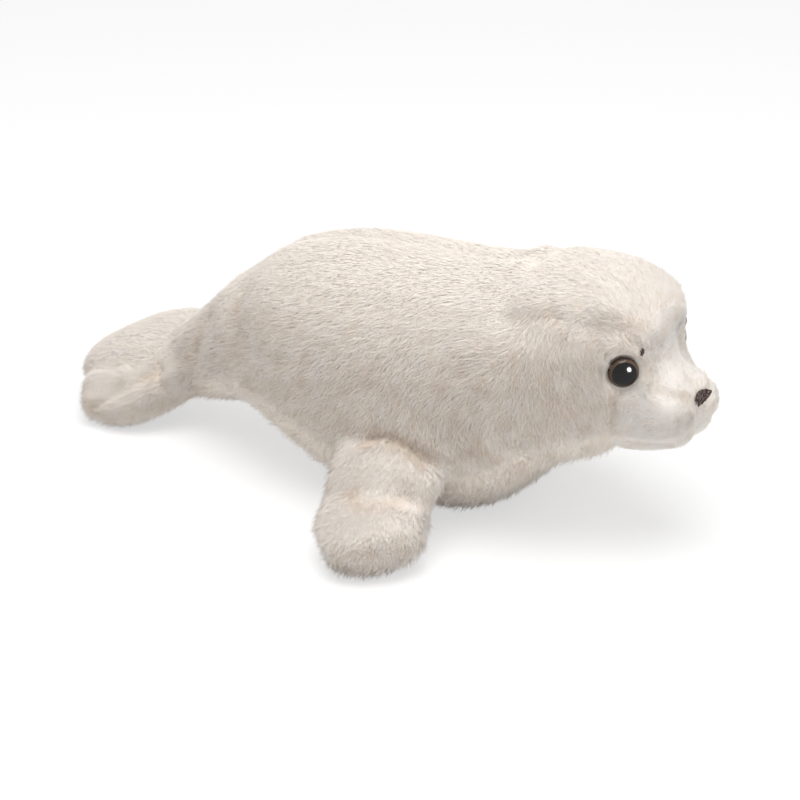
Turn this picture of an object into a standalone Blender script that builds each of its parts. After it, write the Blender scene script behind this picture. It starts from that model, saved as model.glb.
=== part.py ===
"""Plush seal pup that lies on its belly, sewn from pile fabric over a loose fibre filling.

Metres, +Z up, nose towards +X, the animal's left towards +Y. The origin is the centre of the
bounding box's underside. Each sewn bag is a grid of points, rings along its length by rows around
it, so every seam runs along a ring or a row. A panel is the cloth between seams, as a sheet of
even thickness. Inside each bag lies its filling, and each plastic eye is held by a washer.
"""

import math
from dataclasses import dataclass

import bmesh
import bpy
import numpy as np
from mathutils import Matrix, Vector
from mathutils.bvhtree import BVHTree

MM = 0.001

# The body bag from the tail's end to the muzzle's front. The outlines below are drawn for it at
# 267 units long, so a unit is a millimetre at this length, and they grow and shrink with it.
BAG_LENGTH = 267.0 * MM
UNIT = BAG_LENGTH / 267.0

# Cloth and seams
CLOTH_THICKNESS = 3.0 * MM
SEAM_GAP = 0.4 * MM
SEAM_DEPTH = 1.3 * MM
SEAM_SLOPE = 0.25
SHARPEST_MITRE = 0.08
TOUCH_GAP = 0.3 * MM

# Body bag: rounded ends beyond the first and the last station, and its seams across, in units
TAIL_ROUNDING = 9.0 * UNIT
MUZZLE_ROUNDING = 10.5 * UNIT
MUZZLE_SQUARENESS = 0.75
NECK_SEAM_AT = 62.0
FACE_SEAM_AT = 112.0

# Grid: rings along the body and rows around half of it
RINGS_TORSO = 16
RINGS_HEAD = 8
RINGS_MUZZLE = 4
ROWS_CROWN = 4
ROWS_SIDE = 6
ROWS_BELLY = 4
CAP_ANGLES = (30.0, 54.0, 74.0)

# Plastic eyes, placed ahead and up in units, each with a barbed shank and a locking washer inside the head
EYE_PLACE = (113.7, 84.0)
EYE_RADIUS = 6.3 * MM
EYE_DOME_HEIGHT = 4.4 * MM
EYE_RIM_THICKNESS = 0.9 * MM
EYE_SINK = 1.5 * MM
SHANK_RADIUS = 2.0 * MM
SHANK_LENGTH = 11.0 * MM
BARB_HEIGHT = 0.45 * MM
BARB_COUNT = 3
SMOOTH_SHANK = 1.0 * MM
WASHER_RADIUS = 5.2 * MM
WASHER_THICKNESS = 1.4 * MM
SHANK_CLEARANCE = 0.3 * MM

# Embroidered nose, placed up in units, and brow marks, turned this far up from ahead of the eye
NOSE_PLACE = 69.8
NOSE_WIDTH = 10.8 * MM
NOSE_DEPTH = 6.2 * MM
BROW_DIRECTION = 53.0
BROW_TO_EYE = 2.8 * MM
BROW_LENGTH = 3.4 * MM
BROW_WIDTH = 1.8 * MM
THREAD_THICKNESS = 0.9 * MM

# How far outside the body a ray starts that looks for the surface, and the rays under a disc's rim
FAR_OUT = 2 * BAG_LENGTH
DISC_RAYS = 12


@dataclass(frozen=True)
class Station:
    """One cross-section of the body bag, in units and degrees."""

    x: float
    low: float
    high: float
    half_width: float
    widest: float
    crown_seam: float
    belly_seam: float
    lean: float


STATIONS = (
    Station(-118, 12, 52, 18.0, 31, 50, 128, 0.00),
    Station(-106, 12, 63, 23.0, 36, 50, 126, 0.00),
    Station(-92, 15, 76.5, 29.0, 45, 50, 124, 0.00),
    Station(-78, 19, 89, 35.0, 50, 50, 120, 0.00),
    Station(-62, 16, 100, 42.0, 52, 50, 116, 0.00),
    Station(-42, 7, 107, 49.0, 51, 50, 113, 0.00),
    Station(-20, -2, 111, 53.0, 49, 50, 112, 0.00),
    Station(8, -4, 112.5, 55.0, 48, 49, 112, 0.00),
    Station(34, -4, 113.5, 54.5, 49, 47, 114, 0.00),
    Station(55, 5, 117, 52.5, 55, 46, 121, 0.02),
    Station(70, 18, 122, 49.0, 62, 45, 128, 0.06),
    Station(84, 29, 123.3, 45.5, 67, 46, 131, 0.12),
    Station(95, 32, 122, 42.5, 70, 49, 128, 0.18),
    Station(104, 35, 115.5, 37.5, 70, 46, 126, 0.24),
    Station(111, 40.5, 110, 31.0, 66, 38, 124, 0.26),
    Station(117, 43, 100.5, 25.5, 62, 31, 122, 0.17),
    Station(123, 45, 89, 24.0, 61, 37, 122, 0.05),
    Station(129, 47.5, 82.0, 21.5, 62, 50, 122, 0.00),
)


@dataclass(frozen=True)
class Crease:
    """A valley pulled into a bag along a path of points, in units. A negative depth is a bulge."""

    path: tuple
    width: float
    depth: float
    both_sides: bool = True


BODY_CREASES = (
    Crease(((115, 26, 82),), 7.0, 4.2),
    Crease(((56, 0, 118), (64, 18, 112), (70, 31, 103)), 6.0, 3.2),
    Crease(((79, 30, 108), (87, 31, 106)), 4.5, 2.6),
    Crease(((101, 31, 103), (107, 31, 100)), 4.5, 2.2),
    Crease(((118, 0, 95), (119, 14, 88)), 6.0, 1.6),
    Crease(((120, 0, 94),), 7.0, 1.2),
    Crease(((135, 0, 84), (141, 0, 70), (139, 0, 55), (130, 0, 47)), 5.0, 2.6),
    Crease(((132, 13, 62),), 9.0, -2.2),
    Crease(((115, 17, 99),), 10.0, -3.6),
    Crease(((94, 42, 66),), 16.0, -2.0),
    Crease(((96, 20, 38), (104, 26, 50), (108, 30, 66)), 4.5, 2.4),
    Crease(((59, 51, 52), (67, 40, 37), (83, 27, 38)), 6.0, 2.2),
    Crease(((-73, 12, 90), (-70, 26, 80), (-63, 38, 66)), 7.0, 1.8),
    Crease(((-96, 20, 62), (-99, 24, 47)), 6.0, 2.2),
    Crease(((17, 57, 45), (27, 55, 49), (37, 56, 45)), 9.0, -2.0),
)


@dataclass(frozen=True)
class Flipper:
    """A paddle-shaped bag: its centre line and half sizes at each point, in units."""

    line: tuple
    half_width: tuple
    half_thickness: tuple
    width_direction: tuple
    creases: tuple = ()


FRONT_FLIPPER = Flipper(
    line=((21.5, 40, 38), (24, 56, 31), (27, 70, 21.5), (31.5, 80, 15), (37, 85, 13.5)),
    half_width=(28, 27.5, 25.5, 27, 24),
    half_thickness=(14, 13.5, 11.5, 14, 13),
    width_direction=(1.0, -0.1, 0.0),
    creases=(
        Crease(((12, 72, 31), (26, 79, 31), (35, 75, 31), (43, 69, 32)), 4.5, 3.2),
        Crease(((30, 93, 28), (41, 90, 27)), 8.0, -1.6),
    ),
)
RIGHT_HIND_FLIPPER = Flipper(
    line=((-100, -9, 32), (-116, -13, 26), (-130, -19, 17.5), (-141, -22.5, 12.5), (-151.5, -25.5, 11)),
    half_width=(11, 14, 18.5, 19, 17),
    half_thickness=(12, 12, 11.5, 11, 10.5),
    width_direction=(-0.45, 1.0, 0.25),
    creases=(Crease(((-130, -34, 24), (-142, -38, 20)), 6.0, 1.4),),
)
LEFT_HIND_FLIPPER = Flipper(
    line=((-100, 7, 37.5), (-118, 6, 36.5), (-136, 4, 31.5), (-152, 1, 23.5), (-165.5, 0, 17)),
    half_width=(13, 19, 25, 25.5, 22),
    half_thickness=(14, 14.5, 15, 14.5, 13),
    width_direction=(-0.1, 1.0, 0.15),
    creases=(Crease(((-128, -12, 42), (-140, 0, 42), (-152, 6, 36)), 6.5, 2.2),),
)
FLIPPER_RINGS = 6
FLIPPER_ROWS = 12
FLIPPER_TIP_ANGLES = (28.0, 52.0, 72.0)


def through(xs, ys, x):
    """Value at x of a smooth curve through the points, which never overshoots them."""
    xs, ys = np.asarray(xs, float), np.asarray(ys, float)
    step = np.diff(xs)
    slope = np.diff(ys) / step
    tangent = np.concatenate([slope[:1], np.zeros(len(xs) - 2), slope[-1:]])
    for k in range(1, len(xs) - 1):
        if slope[k - 1] * slope[k] > 0:
            tangent[k] = 2 * slope[k - 1] * slope[k] / (slope[k - 1] + slope[k])
    k = int(np.clip(np.searchsorted(xs, x) - 1, 0, len(step) - 1))
    t = (x - xs[k]) / step[k]
    return (
        ys[k] * (1 + 2 * t) * (1 - t) ** 2
        + tangent[k] * step[k] * t * (1 - t) ** 2
        + ys[k + 1] * t * t * (3 - 2 * t)
        + tangent[k + 1] * step[k] * t * t * (t - 1)
    )


class Bag:
    """The outer surface of a sewn bag: rings of points with a pole at each end."""

    def __init__(self, rings, first_pole, last_pole):
        self.ring_count, self.row_count = rings.shape[:2]
        self.points = np.vstack([rings.reshape(-1, 3), [first_pole], [last_pole]])
        self.faces, self.place = [], []
        for i in range(self.ring_count - 1):
            for j in range(self.row_count):
                k = (j + 1) % self.row_count
                self.add_face((i, j), [self.at(i, j), self.at(i, k), self.at(i + 1, k), self.at(i + 1, j)])
        first, last = len(self.points) - 2, len(self.points) - 1
        for j in range(self.row_count):
            k = (j + 1) % self.row_count
            self.add_face((-1, j), [first, self.at(0, k), self.at(0, j)])
            end = self.ring_count - 1
            self.add_face((end, j), [last, self.at(end, j), self.at(end, k)])
        if self.volume() < 0:
            self.faces = [face[::-1] for face in self.faces]

    def at(self, ring, row):
        """Index of a grid point."""
        return ring * self.row_count + row % self.row_count

    def add_face(self, place, corners):
        """Adds a face and the ring and row that it starts at."""
        self.faces.append(corners)
        self.place.append(place)

    def volume(self):
        """Volume inside the surface, negative if it is inside out."""
        total = 0.0
        for face in self.faces:
            a, b = self.points[face[0]], self.points[face[1]]
            for k in range(2, len(face)):
                c = self.points[face[k]]
                total += np.dot(a, np.cross(b, c)) / 6
                b = c
        return total

    def normals(self):
        """Outward unit normal at each point, from the faces around it."""
        normals = np.zeros_like(self.points)
        for face in self.faces:
            corners = self.points[face]
            across = np.cross(corners[2] - corners[0], corners[-1] - corners[1])
            normals[face] += across
        return normals / np.linalg.norm(normals, axis=1)[:, None]

    def pull(self, crease):
        """Presses a crease into the surface, along its normals."""
        sides = (1, -1) if crease.both_sides else (1,)
        depth = np.zeros(len(self.points))
        for side in sides:
            path = np.array(crease.path, float) * UNIT * (1, side, 1)
            away = distance_to_path(self.points, path)
            depth = np.maximum(depth, np.exp(-((away / (crease.width * UNIT)) ** 2)))
        self.points -= self.normals() * (depth * crease.depth * UNIT)[:, None]

    def sew(self, panel_of):
        """Sinks the points where two panels meet, as the stitches pull the cloth in."""
        around = [set() for _ in self.points]
        for face, place in zip(self.faces, self.place):
            for corner in face:
                around[corner].add(panel_of(*place))
        on_seam = np.array([len(panels) > 1 for panels in around])
        self.cloth_normals = self.normals()
        depth = on_seam * np.minimum(SEAM_DEPTH, self.spacing() * SEAM_SLOPE)
        self.points -= self.cloth_normals * depth[:, None]

    def split_quads(self):
        """Cuts each quad along its shorter diagonal, so that every layer of cloth folds the same way."""
        faces, places = [], []
        for face, place in zip(self.faces, self.place):
            if len(face) == 4:
                a, b, c, d = face
                first = np.linalg.norm(self.points[a] - self.points[c])
                second = np.linalg.norm(self.points[b] - self.points[d])
                halves = ([a, b, c], [a, c, d]) if first < second else ([a, b, d], [b, c, d])
            else:
                halves = (face,)
            faces += [list(half) for half in halves]
            places += [place] * len(halves)
        self.faces, self.place = faces, places

    def spacing(self):
        """Distance from each point to its nearest neighbour along a face's edge."""
        nearest = np.full(len(self.points), np.inf)
        for face in self.faces:
            for a, b in zip(face, face[1:] + face[:1]):
                length = np.linalg.norm(self.points[a] - self.points[b])
                nearest[[a, b]] = np.minimum(nearest[[a, b]], length)
        return nearest

    def rest_on_floor(self):
        """Flattens what would reach below the floor."""
        self.points[:, 2] = np.maximum(self.points[:, 2], 0.0)

    def offset(self, distance):
        """The surface's points moved outwards by a distance."""
        return self.points + self.cloth_normals * distance

    def tree(self):
        """The surface as a tree that a ray can be cast at."""
        return BVHTree.FromPolygons([Vector(p) for p in self.points], self.faces)


def distance_to_path(points, path):
    """Distance from each point to the nearest place on a path."""
    nearest = np.full(len(points), np.inf)
    ends = np.vstack([path[1:], path[-1:]]) if len(path) > 1 else path
    for start, end in zip(path, ends):
        along = end - start
        length = max(np.dot(along, along), 1e-12)
        share = np.clip((points - start) @ along / length, 0, 1)
        nearest = np.minimum(nearest, np.linalg.norm(points - start - share[:, None] * along, axis=1))
    return nearest


def material(name, colour, roughness, metallic=0.0):
    """A plain finish, made once for each name."""
    found = bpy.data.materials.get(name)
    if found:
        return found
    made = bpy.data.materials.new(name)
    made.use_nodes = True
    shader = made.node_tree.nodes["Principled BSDF"]
    shader.inputs["Base Color"].default_value = (*colour, 1.0)
    shader.inputs["Roughness"].default_value = roughness
    shader.inputs["Metallic"].default_value = metallic
    return made


def add_object(name, mesh, finish=None):
    """Links a mesh to the scene as a named object."""
    thing = bpy.data.objects.new(name, mesh)
    bpy.context.scene.collection.objects.link(thing)
    if finish:
        mesh.materials.append(finish)
        mesh.shade_smooth()
        mesh.set_sharp_from_angle(angle=math.radians(40))
    else:
        thing.hide_render = True
        thing.display_type = "WIRE"
    return thing


def mesh_from(name, points, faces):
    """A mesh from points and faces."""
    mesh = bpy.data.meshes.new(name)
    mesh.from_pydata([tuple(p) for p in points], [], faces)
    mesh.validate()
    return mesh


def trimmed_back(bag, border):
    """Where the points of a panel's border go when half of the seam gap is trimmed off along it."""
    inwards = {}
    for a, b in border:
        across = np.cross(bag.cloth_normals[a] + bag.cloth_normals[b], bag.points[b] - bag.points[a])
        across /= np.linalg.norm(across)
        inwards.setdefault(a, []).append(across)
        inwards.setdefault(b, []).append(across)
    moved = {}
    for corner, (first, second) in inwards.items():
        mitre = (first + second) / max(1 + np.dot(first, second), SHARPEST_MITRE)
        moved[corner] = bag.points[corner] + mitre * SEAM_GAP / 2
    return moved


def panel_mesh(name, bag, is_in_panel):
    """The cloth of one panel: the chosen faces of a bag, thickened inwards and closed at the edges."""
    faces = [face for face, place in zip(bag.faces, bag.place) if is_in_panel(*place)]
    drawn = {(face[k - 1], face[k]) for face in faces for k in range(len(face))}
    border = sorted(edge for edge in drawn if edge[::-1] not in drawn)
    used = sorted({corner for face in faces for corner in face})
    moved = trimmed_back(bag, border)
    row = {corner: k for k, corner in enumerate(used)}
    points = [moved.get(corner, bag.points[corner]) for corner in used]
    points += [point - bag.cloth_normals[corner] * CLOTH_THICKNESS for corner, point in zip(used, points)]
    inner = len(used)
    made = [[row[corner] for corner in face] for face in faces]
    made += [[row[corner] + inner for corner in face[::-1]] for face in faces]
    made += [[row[b], row[a], row[a] + inner, row[b] + inner] for a, b in border]
    return mesh_from(name, points, made)


def cut(thing, cutter):
    """Takes a cutter's shape out of an object."""
    modifier = thing.modifiers.new(f"cut_by_{cutter.name}", "BOOLEAN")
    modifier.operation = "DIFFERENCE"
    modifier.solver = "EXACT"
    modifier.object = cutter


def turned(name, profile, steps):
    """A solid turned about Z from a profile of (radius, height) points that starts and ends on the axis."""
    shape = bmesh.new()
    corners = [shape.verts.new((radius, 0, height)) for radius, height in profile]
    edges = [shape.edges.new(pair) for pair in zip(corners, corners[1:])]
    bmesh.ops.spin(
        shape,
        geom=corners + edges,
        cent=(0, 0, 0),
        axis=(0, 0, 1),
        angle=math.tau,
        steps=steps,
        use_merge=True,
    )
    bmesh.ops.remove_doubles(shape, verts=shape.verts, dist=1e-6)
    bmesh.ops.recalc_face_normals(shape, faces=shape.faces)
    mesh = bpy.data.meshes.new(name)
    shape.to_mesh(mesh)
    shape.free()
    return mesh


def body_ring(x):
    """Points around the body bag at one place along it, from the spine down the left side and up the right."""
    place = x / UNIT

    def read(field):
        return through([s.x for s in STATIONS], [getattr(s, field) for s in STATIONS], place)

    crown, belly = math.radians(read("crown_seam")), math.radians(read("belly_seam"))
    half = np.concatenate(
        [
            np.linspace(0, crown, ROWS_CROWN, endpoint=False),
            np.linspace(crown, belly, ROWS_SIDE, endpoint=False),
            np.linspace(belly, math.pi, ROWS_BELLY, endpoint=False),
        ]
    )
    angles = np.concatenate([half, [math.pi], -half[:0:-1]])
    widest = read("widest")
    reach = np.where(np.cos(angles) > 0, read("high") - widest, widest - read("low"))
    height = widest + reach * np.cos(angles)
    across = read("half_width") * np.sin(angles)
    along = place + read("lean") * (height - widest)
    return np.stack([along, across, height], axis=1) * UNIT


def rounded_end(ring, direction, depth, angles, squareness=1.0):
    """Rings and pole of a rounded end beyond a ring. A squareness below 1 makes its front flatter."""
    centre = ring.mean(axis=0)
    rings = []
    for angle in np.radians(angles):
        shrink, reach = math.cos(angle) ** squareness, math.sin(angle)
        rings.append(centre + (ring - centre) * shrink + direction * depth * reach)
    return rings, centre + direction * depth


def body_bag():
    """The body bag's outer surface, with its creases and seams."""
    first, last = STATIONS[0].x * UNIT, STATIONS[-1].x * UNIT
    neck, face = NECK_SEAM_AT * UNIT, FACE_SEAM_AT * UNIT
    places = np.concatenate(
        [
            np.linspace(first, neck, RINGS_TORSO, endpoint=False),
            np.linspace(neck, face, RINGS_HEAD, endpoint=False),
            np.linspace(face, last, RINGS_MUZZLE),
        ]
    )
    rings = [body_ring(x) for x in places]
    ahead = np.array([1.0, 0.0, 0.0])
    tail, tail_pole = rounded_end(rings[0], -ahead, TAIL_ROUNDING, CAP_ANGLES)
    muzzle, muzzle_pole = rounded_end(rings[-1], ahead, MUZZLE_ROUNDING, CAP_ANGLES, MUZZLE_SQUARENESS)
    bag = Bag(np.array(tail[::-1] + rings + muzzle), tail_pole, muzzle_pole)
    for crease in BODY_CREASES:
        bag.pull(crease)
    bag.rest_on_floor()
    bag.sew(body_panel)
    bag.rest_on_floor()
    bag.split_quads()
    return bag


NECK_RING = len(CAP_ANGLES) + RINGS_TORSO
FACE_RING = NECK_RING + RINGS_HEAD
HALF_ROWS = ROWS_CROWN + ROWS_SIDE + ROWS_BELLY


def body_panel(ring, row):
    """Name of the panel that a face of the body bag belongs to."""
    side = "left" if row < HALF_ROWS else "right"
    from_spine = row if row < HALF_ROWS else 2 * HALF_ROWS - 1 - row
    is_face = ring >= FACE_RING
    if from_spine >= ROWS_CROWN + ROWS_SIDE:
        return "chin_panel" if is_face else "belly_panel"
    if from_spine < ROWS_CROWN and ring >= NECK_RING:
        return "bridge_panel" if is_face else "crown_panel"
    return f"{side}_cheek_panel" if is_face else f"{side}_side_panel"


def flipper_bag(flipper, side):
    """The outer surface of a flipper. A side of -1 mirrors it across the body."""
    line = np.array(flipper.line, float) * UNIT * (1, side, 1)
    knots = np.concatenate([[0], np.cumsum(np.linalg.norm(np.diff(line, axis=0), axis=1))])
    width_direction = np.array(flipper.width_direction, float) * (1, side, 1)

    def section(place):
        centre = np.array([through(knots, line[:, k], place) for k in range(3)])
        nearby = max(place - UNIT / 2, 0.0)
        behind = np.array([through(knots, line[:, k], nearby) for k in range(3)])
        after = np.array([through(knots, line[:, k], nearby + UNIT) for k in range(3)])
        along = (after - behind) / np.linalg.norm(after - behind)
        across = width_direction - along * np.dot(width_direction, along)
        across /= np.linalg.norm(across)
        up = np.cross(along, across)
        up *= math.copysign(1.0, up[2])
        angles = np.arange(FLIPPER_ROWS) * math.tau / FLIPPER_ROWS
        half_width = through(knots, flipper.half_width, place) * UNIT
        half_thickness = through(knots, flipper.half_thickness, place) * UNIT
        ring = (
            centre
            + np.outer(np.cos(angles), across) * half_width
            + np.outer(np.sin(angles), up) * half_thickness
        )
        return ring, along, half_thickness

    rings = [section(place)[0] for place in np.linspace(0, knots[-1], FLIPPER_RINGS)]
    _, along, half_thickness = section(knots[-1])
    tip, tip_pole = rounded_end(rings[-1], along, half_thickness, FLIPPER_TIP_ANGLES)
    bag = Bag(np.array(rings + tip), rings[0].mean(axis=0), tip_pole)
    for crease in flipper.creases:
        bag.pull(crease)
    bag.rest_on_floor()
    bag.sew(flipper_panel)
    bag.rest_on_floor()
    bag.split_quads()
    return bag


def flipper_panel(ring, row):
    """Name of the half that a face of a flipper belongs to. The cloth has no face at the root's end."""
    if ring < 0:
        return "root"
    return "top" if row < FLIPPER_ROWS // 2 else "bottom"


def add_flipper(name, bag, cutter, cloth, filling):
    """A flipper's two panels and its filling, each trimmed by the cutter."""
    made = []
    for half in ("top", "bottom"):
        mesh = panel_mesh(f"{name}_{half}", bag, lambda ring, row, half=half: flipper_panel(ring, row) == half)
        made.append(add_object(f"{name}_{half}", mesh, cloth))
    inside = mesh_from(f"{name}_filling", bag.offset(-CLOTH_THICKNESS - TOUCH_GAP), bag.faces)
    made.append(add_object(f"{name}_filling", inside, filling))
    for thing in made:
        cut(thing, cutter)


def clearance_cutter(name, bag, joined_to=None):
    """A cutter that leaves the touching gap around a bag, and around another cutter's shape too."""
    cutter = add_object(name, mesh_from(name, bag.offset(TOUCH_GAP), bag.faces))
    if joined_to:
        join = cutter.modifiers.new("join", "BOOLEAN")
        join.operation, join.solver, join.object = "UNION", "EXACT", joined_to
    return cutter


def seat_on(surface, start, direction):
    """Where a ray meets a surface, and the surface's normal there."""
    place, normal, _, _ = surface.ray_cast(Vector(start), Vector(direction).normalized())
    return place, normal


def seat_of_disc(surface, start, direction, radius):
    """Where a disc settles on a surface along X and Z, and its normal: the mean of those under its rim."""
    place, _ = seat_on(surface, start, direction)
    total = Vector()
    for angle in np.arange(DISC_RAYS) * math.tau / DISC_RAYS:
        beside = Vector(start) + Vector((math.cos(angle), 0, math.sin(angle))) * radius
        total += seat_on(surface, beside, direction)[1]
    return place, total.normalized()


def standing_on(place, normal):
    """A matrix that puts an object at a place with its Z along a normal."""
    return Matrix.Translation(place) @ normal.to_track_quat("Z", "Y").to_matrix().to_4x4()


def eye_profile():
    """Radius and height of the eye and its barbed shank, from the shank's end up to the dome's top."""
    profile = [(0, -SHANK_LENGTH), (SHANK_RADIUS * 0.7, -SHANK_LENGTH)]
    free = SHANK_LENGTH - CLOTH_THICKNESS - WASHER_THICKNESS - SMOOTH_SHANK
    pitch = free / BARB_COUNT
    for barb in range(BARB_COUNT):
        start = -SHANK_LENGTH + pitch * barb
        profile.append((SHANK_RADIUS - BARB_HEIGHT, start + 0.2 * pitch))
        profile.append((SHANK_RADIUS, start + 0.8 * pitch))
    profile.append((SHANK_RADIUS - BARB_HEIGHT, -SHANK_LENGTH + free))
    profile.append((SHANK_RADIUS - BARB_HEIGHT, 0))
    profile.append((EYE_RADIUS, 0))
    profile.append((EYE_RADIUS, EYE_RIM_THICKNESS))
    rise = EYE_DOME_HEIGHT - EYE_RIM_THICKNESS
    for angle in np.radians((14, 34, 54, 74)):
        profile.append((EYE_RADIUS * 0.97 * math.cos(angle), EYE_RIM_THICKNESS + rise * math.sin(angle)))
    profile.append((0, EYE_DOME_HEIGHT))
    return profile


def socket_profile(washer_low, washer_high):
    """The space that an eye, its shank and its washer need in the head."""
    hole, pocket = SHANK_RADIUS + SHANK_CLEARANCE, WASHER_RADIUS + TOUCH_GAP
    seat = EYE_RADIUS + TOUCH_GAP
    return [
        (0, -SHANK_LENGTH - TOUCH_GAP),
        (hole, -SHANK_LENGTH - TOUCH_GAP),
        (hole, washer_low - TOUCH_GAP),
        (pocket, washer_low - TOUCH_GAP),
        (pocket, washer_high + TOUCH_GAP),
        (hole, washer_high + TOUCH_GAP),
        (hole, -TOUCH_GAP),
        (seat, -TOUCH_GAP),
        (seat, EYE_DOME_HEIGHT * 3),
        (0, EYE_DOME_HEIGHT * 3),
    ]


def add_eyes(surface, head_parts, plastic, washer_plastic):
    """Both eyes with their washers, and the sockets for them in the head."""
    eye_x, eye_height = EYE_PLACE[0] * UNIT, EYE_PLACE[1] * UNIT
    high = EYE_SINK - CLOTH_THICKNESS - TOUCH_GAP
    low = high - WASHER_THICKNESS
    hole = SHANK_RADIUS + SHANK_CLEARANCE
    washer = [(hole, low), (WASHER_RADIUS, low), (WASHER_RADIUS, high), (hole, high), (hole, low)]
    eye_mesh = turned("eye", eye_profile(), 16)
    washer_mesh = turned("eye_washer", washer, 14)
    socket_mesh = turned("eye_socket", socket_profile(low, high), 14)
    for name, side in (("left", 1), ("right", -1)):
        start = (eye_x, side * FAR_OUT, eye_height)
        place, normal = seat_of_disc(surface, start, (0, -side, 0), EYE_RADIUS)
        stand = standing_on(place - normal * EYE_SINK, normal)
        eye = add_object(f"{name}_eye", eye_mesh.copy(), plastic)
        locking = add_object(f"{name}_eye_washer", washer_mesh.copy(), washer_plastic)
        socket = add_object(f"{name}_eye_socket", socket_mesh.copy())
        eye.matrix_world = locking.matrix_world = socket.matrix_world = stand
        for thing in head_parts:
            if not thing.name.startswith("right" if side > 0 else "left"):
                cut(thing, socket)


def add_patch(name, surface, centre, normal, outline, finish):
    """A stitched patch that follows a surface. The outline gives its half size at each angle round it."""
    stand = standing_on(centre, normal)
    spokes, rings = 16, 3
    low, high = [], []
    for ring in range(rings + 1):
        for spoke in range(spokes if ring else 1):
            angle = math.tau * spoke / spokes
            reach = outline(angle) * ring / rings
            above = stand @ Vector((reach[0], reach[1], EYE_RADIUS))
            place, _ = seat_on(surface, above, -normal)
            fullness = math.sqrt(1 - (0.94 * ring / rings) ** 2)
            low.append(place + normal * TOUCH_GAP)
            high.append(place + normal * (TOUCH_GAP + THREAD_THICKNESS * fullness))
    count = len(low)

    def at(ring, spoke):
        return 1 + (ring - 1) * spokes + spoke % spokes if ring else 0

    faces = []
    for spoke in range(spokes):
        faces.append([at(0, 0), at(1, spoke), at(1, spoke + 1)])
        for ring in range(1, rings):
            faces.append([at(ring, spoke), at(ring + 1, spoke), at(ring + 1, spoke + 1), at(ring, spoke + 1)])
    top = [[corner + count for corner in face] for face in faces]
    under = [face[::-1] for face in faces]
    wall = [
        [at(rings, k), at(rings, k + 1), at(rings, k + 1) + count, at(rings, k) + count]
        for k in range(spokes)
    ]
    return add_object(name, mesh_from(name, low + high, top + under + wall), finish)


def nose_outline(angle):
    """Half size of the nose at an angle: a soft triangle, wide at the top and pointed below."""
    lobe = 1 + 0.16 * math.cos(3 * (angle - math.pi / 2) + math.pi)
    return np.array([math.cos(angle) * NOSE_WIDTH / 2, math.sin(angle) * NOSE_DEPTH / 2]) * lobe


def brow_outline(angle):
    """Half size of a brow mark at an angle."""
    return np.array([math.cos(angle) * BROW_WIDTH / 2, math.sin(angle) * BROW_LENGTH / 2])


def centre_on_origin():
    """Moves every object so that the origin is the centre of the bounding box's underside."""
    graph = bpy.context.evaluated_depsgraph_get()
    low, high = Vector((math.inf,) * 3), Vector((-math.inf,) * 3)
    for thing in bpy.context.scene.objects:
        if thing.hide_render:
            continue
        evaluated = thing.evaluated_get(graph)
        for vertex in evaluated.data.vertices:
            place = thing.matrix_world @ vertex.co
            low = Vector(map(min, low, place))
            high = Vector(map(max, high, place))
    shift = Matrix.Translation((-(low.x + high.x) / 2, -(low.y + high.y) / 2, -low.z))
    for thing in bpy.context.scene.objects:
        thing.matrix_world = shift @ thing.matrix_world


def main():
    """Builds the whole toy."""
    for thing in list(bpy.data.objects):
        bpy.data.objects.remove(thing)
    plush = material("cream_plush", (0.80, 0.72, 0.64), 0.95)
    short_plush = material("short_cream_plush", (0.84, 0.78, 0.70), 0.95)
    fibre = material("white_fibre", (0.90, 0.90, 0.88), 1.0)
    eye_plastic = material("dark_eye_plastic", (0.02, 0.015, 0.012), 0.08)
    washer_plastic = material("white_washer_plastic", (0.85, 0.85, 0.82), 0.4)
    thread = material("brown_black_thread", (0.035, 0.022, 0.02), 0.7)

    body = body_bag()
    surface = body.tree()
    panels = {}
    for name in sorted({body_panel(*place) for place in body.place}):
        mesh = panel_mesh(name, body, lambda ring, row, name=name: body_panel(ring, row) == name)
        is_face = name.endswith(("cheek_panel", "bridge_panel", "chin_panel"))
        panels[name] = add_object(name, mesh, short_plush if is_face else plush)
    core = mesh_from("body_filling", body.offset(-CLOTH_THICKNESS - TOUCH_GAP), body.faces)
    body_filling = add_object("body_filling", core, fibre)

    head_parts = [thing for name, thing in panels.items() if name not in ("belly_panel", "chin_panel")]
    add_eyes(surface, [*head_parts, body_filling], eye_plastic, washer_plastic)

    body_space = clearance_cutter("body_clearance", body)
    for name, side in (("left", 1), ("right", -1)):
        add_flipper(f"{name}_front_flipper", flipper_bag(FRONT_FLIPPER, side), body_space, plush, fibre)
    lower = flipper_bag(RIGHT_HIND_FLIPPER, 1)
    add_flipper("right_hind_flipper", lower, body_space, plush, fibre)
    lower_space = clearance_cutter("right_hind_clearance", lower)
    tail_space = clearance_cutter("tail_clearance", body, joined_to=lower_space)
    add_flipper("left_hind_flipper", flipper_bag(LEFT_HIND_FLIPPER, 1), tail_space, plush, fibre)

    nose_place, nose_normal = seat_on(surface, (FAR_OUT, 0, NOSE_PLACE * UNIT), (-1, 0, 0))
    add_patch("nose_stitching", surface, nose_place, nose_normal, nose_outline, thread)
    from_eye = EYE_RADIUS + BROW_TO_EYE + BROW_LENGTH / 2
    brow_x = EYE_PLACE[0] * UNIT + from_eye * math.cos(math.radians(BROW_DIRECTION))
    brow_height = EYE_PLACE[1] * UNIT + from_eye * math.sin(math.radians(BROW_DIRECTION))
    for name, side in (("left", 1), ("right", -1)):
        place, normal = seat_on(surface, (brow_x, side * FAR_OUT, brow_height), (0, -side, 0))
        add_patch(f"{name}_brow_stitching", surface, place, normal, brow_outline, thread)
    centre_on_origin()


main()
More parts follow.
